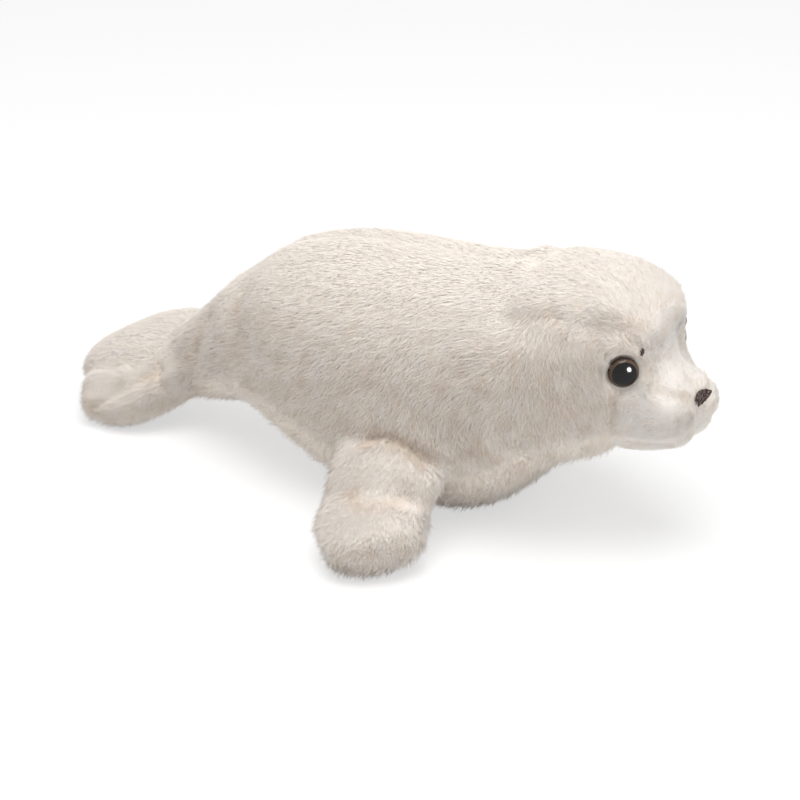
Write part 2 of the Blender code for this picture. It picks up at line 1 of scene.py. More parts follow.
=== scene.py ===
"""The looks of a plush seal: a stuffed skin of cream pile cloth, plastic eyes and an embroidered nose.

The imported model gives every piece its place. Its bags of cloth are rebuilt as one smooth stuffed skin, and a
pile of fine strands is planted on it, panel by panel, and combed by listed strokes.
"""

import logging
import math
from dataclasses import dataclass, field
from enum import Enum
from typing import Any

import bmesh
import bpy
import numpy as np
from mathutils import Matrix, Vector
from mathutils.bvhtree import BVHTree


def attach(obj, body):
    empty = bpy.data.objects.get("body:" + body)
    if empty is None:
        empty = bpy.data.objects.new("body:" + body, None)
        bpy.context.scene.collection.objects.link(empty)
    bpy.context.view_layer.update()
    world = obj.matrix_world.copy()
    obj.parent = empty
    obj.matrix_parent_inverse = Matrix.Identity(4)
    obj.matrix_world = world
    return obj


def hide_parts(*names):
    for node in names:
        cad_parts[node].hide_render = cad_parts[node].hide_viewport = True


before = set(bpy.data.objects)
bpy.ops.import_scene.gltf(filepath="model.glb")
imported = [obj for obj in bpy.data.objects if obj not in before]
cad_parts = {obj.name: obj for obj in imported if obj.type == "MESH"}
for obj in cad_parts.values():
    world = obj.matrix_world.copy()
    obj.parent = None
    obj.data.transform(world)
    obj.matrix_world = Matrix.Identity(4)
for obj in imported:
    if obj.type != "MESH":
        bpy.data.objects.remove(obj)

MM = 0.001
BODY = "root"
# The pattern's own origin lies this far ahead of the middle of the finished toy
DRAWN_FROM = Vector((19.4 * MM, 0.0, 0.0))
# The map that holds a strand's tint across and its length from root to tip
STRAND_MAP = "OFBake"

# White, as a node's colour with full cover
WHITE = (1.0, 1.0, 1.0, 1.0)

Colour = tuple[float, float, float]
Place = tuple[float, float, float]
Inputs = dict[str | int, Any]
log = logging.getLogger("plush_seal")


class Slot(Enum):
    """The record's finishes by name; each cut of pile names one."""

    PLUSH = "plush"
    SHORT_PLUSH = "short_plush"
    EYE_PLASTIC = "eye_plastic"
    THREAD = "thread"


class Signal:
    """A socket of a node tree that takes part in Python expressions."""

    def __init__(self, graph: "Graph", socket: bpy.types.NodeSocket) -> None:
        """Wraps one output socket."""
        self.graph = graph
        self.socket = socket

    def __add__(self, other: "Signal | float") -> "Signal":
        """The sum with a signal or a number."""
        return self.graph.maths("ADD", self, other)

    def __sub__(self, other: "Signal | float") -> "Signal":
        """The difference from a signal or a number."""
        return self.graph.maths("SUBTRACT", self, other)

    def __mul__(self, other: "Signal | float") -> "Signal":
        """The product with a signal or a number."""
        return self.graph.maths("MULTIPLY", self, other)

    def is_vector(self) -> bool:
        """Whether the signal carries three numbers."""
        return self.socket.type in ("VECTOR", "RGBA")


class Graph:
    """A node tree that is written as expressions and single nodes."""

    def __init__(self, tree: bpy.types.NodeTree) -> None:
        """Wraps a shader tree or a geometry tree."""
        self.tree = tree

    @staticmethod
    def socket(sockets: Any, key: str | int) -> bpy.types.NodeSocket:
        """The socket of that number, or the first in use of that name."""
        named = (found for found in sockets if found.enabled and found.name == key)
        return sockets[key] if isinstance(key, int) else next(named)

    def node(self, kind: str, inputs: Inputs | None = None, **settings: Any) -> bpy.types.Node:
        """Adds one node.

        Args:
            kind: The node's type.
            inputs: Values or signals for its sockets, by name or number.
            **settings: Its own settings, set before its sockets.

        Returns:
            The node.
        """
        made = self.tree.nodes.new(kind)
        for name, value in settings.items():
            setattr(made, name, value)
        for key, value in (inputs or {}).items():
            socket = self.socket(made.inputs, key)
            if isinstance(value, Signal):
                self.tree.links.new(value.socket, socket)
            else:
                socket.default_value = value
        return made

    def pick(self, node: bpy.types.Node, key: str | int = 0) -> Signal:
        """The signal of one of a node's outputs."""
        return Signal(self, self.socket(node.outputs, key))

    def value(
        self, kind: str, inputs: Inputs | None = None, output: str | int = 0, **settings: Any
    ) -> Signal:
        """Adds one node and gives one of its outputs, by name or number."""
        return self.pick(self.node(kind, inputs, **settings), output)

    def maths(self, operation: str, first: "Signal | float", second: "Signal | float" = 0.0) -> Signal:
        """One step of arithmetic, on vectors where either side is one.

        Args:
            operation: The Math or Vector Math operation.
            first: The left side.
            second: The right side.

        Returns:
            The result.
        """
        both = (first, second)
        if any(side.is_vector() if isinstance(side, Signal) else isinstance(side, tuple) for side in both):
            wide = [side if isinstance(side, (Signal, tuple)) else (side,) * 3 for side in both]
            return self.value("ShaderNodeVectorMath", dict(enumerate(wide)), operation=operation)
        return self.value("ShaderNodeMath", dict(enumerate(both)), operation=operation)

    def blend(self, factor: "Signal | float", first: Any, second: Any) -> Signal:
        """Mixes two colours.

        Args:
            factor: 0 for the first and 1 for the second.
            first: A colour or its signal.
            second: A colour or its signal.

        Returns:
            The mixed colour.
        """
        opaque = [side if isinstance(side, Signal) else (*side, 1.0) for side in (first, second)]
        inputs = {"Factor": factor, "A": opaque[0], "B": opaque[1]}
        return self.value("ShaderNodeMix", inputs, "Result", data_type="RGBA")

    def noise(self, place: Signal, size: float, detail: float = 2.0, output: str | int = 0) -> Signal:
        """Soft noise about 0.5, with blotches of a real size in metres."""
        inputs = {"Vector": place, "Scale": 1 / size, "Detail": detail}
        return self.value("ShaderNodeTexNoise", inputs, output)

    def ramp(self, factor: Signal, *stops: tuple[float, Colour]) -> Signal:
        """Turns a number into a colour.

        Args:
            factor: The number.
            *stops: Places from 0 to 1 with their colours.

        Returns:
            The colour.
        """
        made = self.node("ShaderNodeValToRGB", {"Fac": factor})
        ramp = made.color_ramp.elements
        while len(ramp) < len(stops):
            ramp.new(1.0)
        for stop, (place, colour) in zip(ramp, stops):
            stop.position, stop.color = place, (*colour, 1.0)
        return self.pick(made, "Color")

    def parts(self, vector: Signal) -> list[Signal]:
        """The three parts of a vector."""
        made = self.node("ShaderNodeSeparateXYZ", {"Vector": vector})
        return [self.pick(made, axis) for axis in "XYZ"]

    def joined(self, *parts: "Signal | float") -> Signal:
        """A vector of up to three parts."""
        return self.value("ShaderNodeCombineXYZ", dict(enumerate(parts)))

    def bump(self, height: Signal, strength: float, depth: float) -> Signal:
        """The normal of a surface that a height raises by up to a depth in metres."""
        return self.value("ShaderNodeBump", {"Height": height, "Strength": strength, "Distance": depth})

    def seen(self) -> Signal:
        """1 for a ray from the camera, straight, off a glossy surface or through a clear one, else 0.

        Returns:
            The share.
        """
        rays = self.node("ShaderNodeLightPath")
        straight, glossy, through = (
            self.pick(rays, f"Is {kind} Ray") for kind in ("Camera", "Glossy", "Transmission")
        )
        return self.maths("MAXIMUM", self.maths("MAXIMUM", straight, glossy), through)

    def surface(self, inputs: Inputs) -> Signal:
        """A Principled shader with these inputs."""
        return self.value("ShaderNodeBsdfPrincipled", inputs)


@dataclass(frozen=True)
class Finish:
    """What every finish has: a name and a shader."""

    name: str

    def material(self) -> bpy.types.Material:
        """The finish as a material, made once.

        Returns:
            The material.
        """
        made = bpy.data.materials.get(self.name)
        if made is None:
            made = bpy.data.materials.new(self.name)
            made.use_nodes = True
            made.node_tree.nodes.clear()
            graph = Graph(made.node_tree)
            graph.node("ShaderNodeOutputMaterial", {"Surface": self.shader(graph)})
        return made

    def shader(self, graph: Graph) -> Signal:
        """The finish's shader, which each kind of finish makes for itself."""
        raise NotImplementedError


@dataclass(frozen=True)
class PileFinish(Finish):
    """Fine acrylic strands, each of its own tint, darker and browner at the root as painted shade deep in the
    pile with a little tan.
    """

    # The tint runs from dull through cream to bright. Dull is partly the fibre's own duller tone and partly
    # painted shade: its warm brown stands in for shade on the sides and in folds
    dull: Colour = (0.800, 0.670, 0.550)
    cream: Colour = (0.950, 0.868, 0.785)
    bright: Colour = (0.975, 0.930, 0.875)
    # Root: painted shade deep in the pile, warm like light bounced between strands, with a little tan
    root: Colour = (0.875, 0.760, 0.650)
    cream_at: float = 0.45
    root_shade_share: float = 0.45
    roughness: float = 0.8
    specular: float = 0.2
    sheen: float = 0.12
    sheen_roughness: float = 0.5
    sheen_tint: Colour = (1.0, 0.96, 0.91)

    def shader(self, graph: Graph) -> Signal:
        """The strand's shader.

        Args:
            graph: The material's tree.

        Returns:
            A matt surface with a slight sheen.
        """
        tint_at, along, _ = graph.parts(graph.value("ShaderNodeUVMap", uv_map=STRAND_MAP))
        tint = graph.ramp(tint_at, (0.0, self.dull), (self.cream_at, self.cream), (1.0, self.bright))
        # Near its root each strand turns to the root colour: painted shade deep in the pile
        inputs = {"Value": along, "From Max": self.root_shade_share, "To Min": 1.0, "To Max": 0.0}
        depth = graph.value("ShaderNodeMapRange", inputs, interpolation_type="SMOOTHSTEP")
        return graph.surface(
            {
                "Base Color": graph.blend(depth, tint, self.root),
                "Roughness": self.roughness,
                "Specular IOR Level": self.specular,
                "Sheen Weight": self.sheen,
                "Sheen Roughness": self.sheen_roughness,
                "Sheen Tint": (*self.sheen_tint, 1.0),
            }
        )


@dataclass(frozen=True)
class BackingFinish(Finish):
    """The knitted cloth that the pile grows from."""

    # A little darker than the pile: painted shade under the pile. Its blotches and knit are the cloth's own
    light: Colour = (0.880, 0.810, 0.740)
    dark: Colour = (0.800, 0.715, 0.630)
    knit: float = 0.9 * MM
    blotch: float = 12.0 * MM
    blotch_share: float = 0.7
    bump: float = 0.6
    bump_depth: float = 0.2 * MM
    roughness: float = 0.95

    def shader(self, graph: Graph) -> Signal:
        """Knitted loops with soft blotches, as a plain rough surface.

        Args:
            graph: The material's tree.

        Returns:
            The shader.
        """
        place = graph.value("ShaderNodeTexCoord", output="Object")
        blotches = graph.noise(place, self.blotch)
        knit = graph.value("ShaderNodeTexVoronoi", {"Vector": place, "Scale": 1 / self.knit}, "Distance")
        mixed = blotches * self.blotch_share + knit * (1 - self.blotch_share)
        bump = graph.bump(knit, self.bump, self.bump_depth)
        colour = graph.blend(mixed, self.dark, self.light)
        return graph.surface({"Base Color": colour, "Roughness": self.roughness, "Normal": bump})


@dataclass(frozen=True)
class EyeFinish(Finish):
    """Clear-domed plastic over a painted brown iris and a wide black pupil."""

    pupil: Colour = (0.006, 0.006, 0.007)
    iris: Colour = (0.095, 0.060, 0.040)
    iris_edge: Colour = (0.045, 0.028, 0.020)
    rim: Colour = (0.020, 0.014, 0.012)
    pupil_share: float = 0.80
    iris_share: float = 0.97
    pupil_blur: float = 0.02
    iris_blur: float = 0.06
    map_width: float = 20.0 * MM
    streak: float = 0.3 * MM
    streak_pull: float = 0.06
    roughness: float = 0.12
    refraction: float = 1.30
    coat: float = 0.1
    coat_roughness: float = 0.08

    def shader(self, graph: Graph) -> Signal:
        """Rings of colour by the distance from the middle of the eye's own map.

        Args:
            graph: The material's tree.

        Returns:
            The shader.
        """
        places = graph.value("ShaderNodeUVMap", uv_map="dome")
        inputs = {0: places, 1: (0.5, 0.5, 0.0)}
        reach = graph.value("ShaderNodeVectorMath", inputs, "Value", operation="DISTANCE")
        streaks = graph.noise(places * self.map_width, self.streak)
        colour = graph.ramp(
            reach * 2.0 + (streaks - 0.5) * self.streak_pull,
            (0.0, self.pupil),
            (self.pupil_share - self.pupil_blur, self.pupil),
            (self.pupil_share + self.pupil_blur, self.iris),
            (self.iris_share - self.iris_blur, self.iris),
            (self.iris_share, self.iris_edge),
            (1.0, self.rim),
        )
        return graph.surface(
            {
                "Base Color": colour,
                "Roughness": self.roughness,
                "IOR": self.refraction,
                "Coat Weight": self.coat,
                "Coat Roughness": self.coat_roughness,
            }
        )


@dataclass(frozen=True)
class ThreadFinish(Finish):
    """Twisted embroidery thread with paler scratches of worn fibre."""

    dark: Colour = (0.022, 0.013, 0.012)
    worn: Colour = (0.330, 0.225, 0.195)
    twist: float = 0.45 * MM
    dark_to: float = 0.50
    worn_from: float = 0.66
    stretch: Place = (1.0, 1.0, 0.35)
    detail: float = 4.0
    bump: float = 0.7
    bump_depth: float = 0.15 * MM
    roughness: float = 0.6
    specular: float = 0.12

    def shader(self, graph: Graph) -> Signal:
        """Thread with a fine twist in colour and height.

        Args:
            graph: The material's tree.

        Returns:
            The shader.
        """
        place = graph.value("ShaderNodeTexCoord", output="Object")
        worn = graph.noise(place * self.stretch, self.twist, self.detail)
        stops = ((0.0, self.dark), (self.dark_to, self.dark), (self.worn_from, self.worn))
        return graph.surface(
            {
                "Base Color": graph.ramp(worn, *stops),
                "Roughness": self.roughness,
                "Specular IOR Level": self.specular,
                "Normal": graph.bump(worn, self.bump, self.bump_depth),
            }
        )


@dataclass(frozen=True)
class MouldedFinish(Finish):
    """Plain moulded plastic with a faint grain."""

    light: Colour = (0.80, 0.80, 0.77)
    dark: Colour = (0.70, 0.70, 0.67)
    grain: float = 0.8 * MM
    bump: float = 0.2
    bump_depth: float = 0.1 * MM
    roughness: float = 0.4

    def shader(self, graph: Graph) -> Signal:
        """A faint grain in colour and height.

        Args:
            graph: The material's tree.

        Returns:
            The shader.
        """
        grain = graph.noise(graph.value("ShaderNodeTexCoord", output="Object"), self.grain)
        colour = graph.blend(grain, self.dark, self.light)
        bump = graph.bump(grain, self.bump, self.bump_depth)
        return graph.surface({"Base Color": colour, "Roughness": self.roughness, "Normal": bump})


@dataclass(frozen=True)
class PaperFinish(Finish):
    """The pale studio floor, a little brighter to the camera than its light makes it."""

    colour: Colour = (0.93, 0.93, 0.93)
    camera_share: float = 0.6

    def shader(self, graph: Graph) -> Signal:
        """A rough pale surface that part of each camera ray sees as white.

        Args:
            graph: The material's tree.

        Returns:
            The shader.
        """
        rough = graph.value("ShaderNodeBsdfDiffuse", {"Color": (*self.colour, 1.0)})
        white = graph.value("ShaderNodeEmission", {"Color": WHITE, "Strength": 1.0})
        return graph.value("ShaderNodeMixShader", {0: graph.seen() * self.camera_share, 1: rough, 2: white})


LONG_PILE = PileFinish("long_cream_pile")
# The face's paler short pile; its dull and root colours carry painted shade as the long pile's do
SHORT_PILE = PileFinish(
    "short_cream_pile",
    dull=(0.860, 0.740, 0.630),
    cream=(0.985, 0.935, 0.875),
    bright=(0.990, 0.960, 0.920),
    root=(0.940, 0.865, 0.785),
)
BACKING = BackingFinish("knitted_backing")
EYE_PLASTIC = EyeFinish("domed_eye_plastic")
THREAD = ThreadFinish("brown_black_thread")
WASHER_PLASTIC = MouldedFinish("white_washer_plastic")
PAPER = PaperFinish("pale_studio_paper")


def sides(both: bool) -> tuple[int, ...]:
    """Which way across a thing lies: as it was drawn, and mirrored too if it lies on both sides."""
    return (1, -1) if both else (1,)


def drawn(place: Place) -> Vector:
    """A place of the pattern, in drawn millimetres, as a place in the frame."""
    return Vector(place) * MM + DRAWN_FROM


def rising(values: np.ndarray, start: float, span: float) -> np.ndarray:
    """0 up to a start, and from there to 1 over a span."""
    return np.clip((values - start) / span, 0, 1)


@dataclass(frozen=True)
class Stroke:
    """One stroke of the brush, at a place of the pattern, in drawn millimetres."""

    place: Place
    towards: Place
    both_sides: bool = True


@dataclass(frozen=True)
class Slack:
    """A part of a bag where the cloth is slack, so that its surface is softer than the pattern's."""

    place: Place
    reach: float
    rounds: int
    swell: float
    both_sides: bool = True
    edge_share: float = 0.4

    def nearness(self, places: np.ndarray) -> np.ndarray:
        """How slack the cloth is at each point.

        Args:
            places: The points.

        Returns:
            1 in the slack part and 0 away from it.
        """
        middles = [np.array(drawn(self.place)) * (1, side, 1) for side in sides(self.both_sides)]
        gap = np.min([np.linalg.norm(places - middle, axis=1) for middle in middles], axis=0)
        return rising(self.reach * MM - gap, 0, self.edge_share * self.reach * MM)


@dataclass(frozen=True)
class Fold:
    """A fold pressed into a bag along a path of the pattern, in drawn millimetres."""

    path: tuple[Place, ...]
    width: float
    depth: float
    both_sides: bool = True
    # How much the fold darkens the pile's tint: painted shade in the crease
    shade: float = 0.35

    def nearness(self, places: np.ndarray) -> np.ndarray:
        """How much of the fold each point gets.

        Args:
            places: The points.

        Returns:
            1 on the path and less beside it.
        """
        gap = np.full(len(places), 1.0)
        for side in sides(self.both_sides):
            path = np.array([drawn(place) for place in self.path]) * (1, side, 1)
            for start, end in zip(path, path[1:]):
                along = end - start
                share = np.clip((places - start) @ along / (along @ along), 0, 1)
                gap = np.minimum(gap, np.linalg.norm(places - start - share[:, None] * along, axis=1))
        return np.exp(-((gap / (self.width * MM)) ** 2))


def strokes(*rows: tuple[float, ...], both_sides: bool = True) -> tuple[Stroke, ...]:
    """Strokes from rows of six numbers: a place of the pattern, and which way the brush goes there."""
    return tuple(Stroke(row[:3], row[3:], both_sides) for row in rows)


# The brush strokes on the toy's right half. Its left half is brushed the same way
BODY_STROKES = strokes(
    (-104, -18, 46, -1, -0.15, -0.3),
    (-85, -25, 60, -0.9, -0.2, -0.5),
    (-80, 0, 85, -1, 0, -0.3),
    (-55, -45, 55, -0.75, 0, -0.7),
    (-40, -30, 90, -0.8, -0.4, -0.4),
    (-10, -52, 60, -0.45, 0, -0.9),
    (0, 0, 113, -1, -0.1, 0),
    (10, -35, 100, -0.6, -0.6, -0.4),
    (35, -54, 55, 0.35, 0, -0.9),
    (40, -50, 80, -0.3, -0.2, -0.9),
    (55, -48, 40, 0.65, 0.1, -0.7),
    (60, -44, 90, -0.9, -0.1, -0.3),
    (62, -46, 70, -0.55, 0, -0.8),
    (75, -38, 45, 0.5, 0.1, -0.8),
    (80, -45, 75, 0.2, 0, -1),
    (85, -40, 95, 0.45, -0.2, -0.8),
    (98, -36, 85, 0.75, 0.1, -0.6),
    (100, -36, 62, 0.6, 0.1, -0.8),
    (102, -30, 45, 0.2, 0.2, -0.9),
    (70, 0, 121, -0.9, 0, 0.3),
    (95, 0, 124, -0.8, 0, 0.1),
    (90, -25, 115, -0.7, -0.4, -0.3),
    (108, -10, 112, -0.5, 0, 0.8),
    (118, -8, 97, -0.4, 0, 0.9),
    (130, -3, 82, -0.8, 0, 0.6),
    (125, -20, 72, -0.85, -0.3, 0.1),
    (120, -24, 60, -0.7, -0.3, -0.6),
    (132, -10, 55, -0.6, -0.5, -0.6),
    (120, 0, 44, -1, 0, -0.2),
    (85, 0, 30, -0.9, 0, -0.5),
    (30, 0, -4, -1, -0.3, 0),
    (-50, 0, 10, -1, -0.2, 0.3),
)
FRONT_FLIPPER_STROKES = strokes(
    (24, -45, 38, 0.2, -0.8, -0.5),
    (26, -70, 30, 0.25, -0.9, -0.4),
    (14, -92, 20, -0.25, -0.8, -0.6),
    (34, -100, 22, 0.2, -0.8, -0.6),
    (50, -90, 18, 0.6, -0.6, -0.6),
    (30, -80, 2, 0.2, -1, 0),
)
HIND_FLIPPER_STROKES = strokes(
    (-105, 0, 40, -1, 0, -0.2),
    (-118, -20, 40, -0.9, -0.1, -0.35),
    (-130, -30, 28, -0.6, -0.35, -0.75),
    (-142, -36, 18, -0.75, -0.3, -0.7),
    (-122, -30, 20, -0.2, -0.4, -0.9),
    (-140, -15, 30, -0.9, -0.1, -0.35),
    (-140, 20, 40, -0.9, 0.2, -0.3),
    (-165, 0, 22, -0.9, 0, -0.45),
    (-140, -20, 5, -1, -0.1, 0),
    both_sides=False,
)
# Where the cloth is slack: the hind flippers, the front flippers' joints and wrists and the crown's edge
BODY_SLACKS = (
    Slack((-150, -10, 20), 50.0, 26, 1.2, False),
    Slack((27, -58, 42), 20.0, 14, 0.4),
    Slack((28, -79, 29), 17.0, 24, 0.8),
    Slack((78, -30, 105), 26.0, 30, 0.6),
)
# Where the filling is packed out, along paths of the pattern
BODY_SWELLS = (
    Fold(
        (
            (60, -12, 113), (66, -18, 110), (71, -28, 106),
            (80, -30, 106), (94, -31, 103), (102, -31, 101),
        ),
        7.0, -2.4, shade=0.0,
    ),
    Fold(((60, 10, 113), (59, 0, 114), (60, -10, 113)), 7.0, -1.3, False, 0.0),
    Fold(((-166, -25, 15), (-158, -26.5, 19), (-149, -27, 22), (-139, -26, 25)), 5.0, -3.4, False, 0.0),
)
# The folds that show from a step away, on the toy's right half and mirrored unless they say otherwise. Their
# shade is painted shade that darkens the pile along them
BODY_FOLDS = (
    Fold(((13, -57, 44.5), (20.5, -54.5, 47), (31, -55, 46), (40.5, -55.4, 42)), 3.6, 2.0, shade=1.0),
    Fold(((17, -76, 31), (27, -81, 31), (35, -77, 32), (41, -71, 32.5)), 4.2, 0.9, shade=1.2),
    Fold(((121, 9, 91), (122.5, 9.5, 86), (124, 10, 81)), 5.0, 3.2, False, 0.0),
    Fold(((59.5, -51, 52), (67, -40, 36), (83, -27, 39)), 5.0, 1.4),
    Fold(((-73, -26, 80), (-68, -35, 68), (-66, -38, 58)), 6.0, 1.2),
    Fold(((-96, -20, 62), (-99, -24, 47)), 5.0, 1.8),
    Fold(((84, -30, 107), (89, -31, 105)), 3.0, 1.2),
    Fold(((112, -27, 100.5), (115.5, -24, 99), (119.6, -19, 94)), 2.2, 1.1),
    Fold(
        (
            (119, -20, 90), (121, -18, 85.5), (124, -17, 80),
            (127, -16, 76.5), (133, -13, 74.6), (138, -7, 72),
        ),
        1.7, 0.7, shade=0.9,
    ),
    Fold(((139, -7, 58), (138, -10, 60)), 2.4, 0.8),
    Fold(((113, -26, 78), (112, -27, 73), (111.5, -27, 62), (110, -25, 50)), 2.6, 2.2, shade=0.6),
    Fold(
        (
            (-121, -24, 32), (-127, -28, 29), (-134, -32, 25.5),
            (-140, -36, 20), (-146, -40, 12),
        ),
        3.8, 5.0, False, 0.8,
    ),
    Fold(((-121, -24, 32), (-116, -25, 26)), 3.0, 1.6, False),
)


def mesh_arrays(mesh: bpy.types.Mesh) -> tuple[np.ndarray, np.ndarray]:
    """The places and the normals of a mesh's points.

    Args:
        mesh: The mesh.

    Returns:
        Both as rows of three numbers.
    """
    places, normals = (np.empty(len(mesh.vertices) * 3) for _ in range(2))
    mesh.vertices.foreach_get("co", places)
    mesh.vertex_normals.foreach_get("vector", normals)
    return places.reshape(-1, 3), normals.reshape(-1, 3)


def place_points(mesh: bpy.types.Mesh, places: np.ndarray) -> None:
    """Moves a mesh's points to new places."""
    mesh.vertices.foreach_set("co", places.astype(np.float32).ravel())
    mesh.update()


def edge_pairs(mesh: bpy.types.Mesh) -> np.ndarray:
    """The two points of each edge of a mesh.

    Args:
        mesh: The mesh.

    Returns:
        One row an edge.
    """
    pairs = np.empty(len(mesh.edges) * 2, np.int64)
    mesh.edges.foreach_get("vertices", pairs)
    return pairs.reshape(-1, 2)


def spread(values: np.ndarray, pairs: np.ndarray, share: float, rounds: int = 1) -> np.ndarray:
    """Draws each point's value towards the mean of its neighbours.

    Args:
        values: One row a point.
        pairs: The two points of each edge.
        share: How far towards the mean, where a negative share swells again.
        rounds: How many times.

    Returns:
        The new values.
    """
    rows = values.reshape(len(values), -1).astype(float)
    both = np.concatenate([pairs, pairs[:, ::-1]])
    count = np.maximum(np.bincount(both[:, 0], minlength=len(rows)), 1)[:, None]
    for _ in range(rounds):
        total = np.stack(
            [np.bincount(both[:, 0], rows[both[:, 1], k], len(rows)) for k in range(rows.shape[1])], axis=1
        )
        rows += share * (total / count - rows)
    return rows.reshape(values.shape)


def evaluated_mesh(thing: bpy.types.Object) -> bpy.types.Mesh:
    """An object's mesh with its modifiers made real.

    Args:
        thing: The object.

    Returns:
        A new mesh.
    """
    graph = bpy.context.evaluated_depsgraph_get()
    return bpy.data.meshes.new_from_object(
        thing.evaluated_get(graph), preserve_all_data_layers=True, depsgraph=graph
    )


def add_object(name: str, mesh: bpy.types.Mesh, finish: Finish | None = None) -> bpy.types.Object:
    """Puts a mesh in the scene.

    Args:
        name: The piece's name.
        mesh: Its mesh.
        finish: Its finish, unless the mesh has one.

    Returns:
        The object.
    """
    made = bpy.data.objects.new(name, mesh)
    bpy.context.scene.collection.objects.link(made)
    if finish is not None:
        mesh.materials.clear()
        mesh.materials.append(finish.material())
    return made


def discard(thing: bpy.types.Object) -> None:
    """Removes an object and its mesh.

    Args:
        thing: The object.
    """
    mesh = thing.data
    bpy.data.objects.remove(thing)
    bpy.data.meshes.remove(mesh)


def node_tree_of(node: str) -> BVHTree:
    """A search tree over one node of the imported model."""
    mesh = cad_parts[node].data
    return BVHTree.FromPolygons([v.co[:] for v in mesh.vertices], [p.vertices[:] for p in mesh.polygons])


# The values that a skin carries for its pile, and those that the pile carries while it is made; shade is
# painted shade along folds
SKIN_MARKS = ("comb", "reach", "grows", "upright", "shade")
PILE_MARKS = (*SKIN_MARKS, "tint", "nap")


def strip(mesh: bpy.types.Mesh, marks: tuple[str, ...]) -> None:
    """Removes the marks of a mesh, by the first word of their names.

    Args:
        mesh: The mesh.
        marks: The first words.
    """
    for name in [mark.name for mark in mesh.attributes if mark.name.split("_")[0] in marks]:
        mesh.attributes.remove(mesh.attributes[name])


@dataclass
class PileCut:
    """One cut of pile, on one panel of a bag."""

    name: str
    panels: tuple[str, ...]
    strands: int
    length: float = 4.6 * MM
    width: float = 0.30 * MM
    lift: float = 0.66
    stand: float = 2.7 * MM
    finish: PileFinish = LONG_PILE
    slot: Slot = Slot.PLUSH


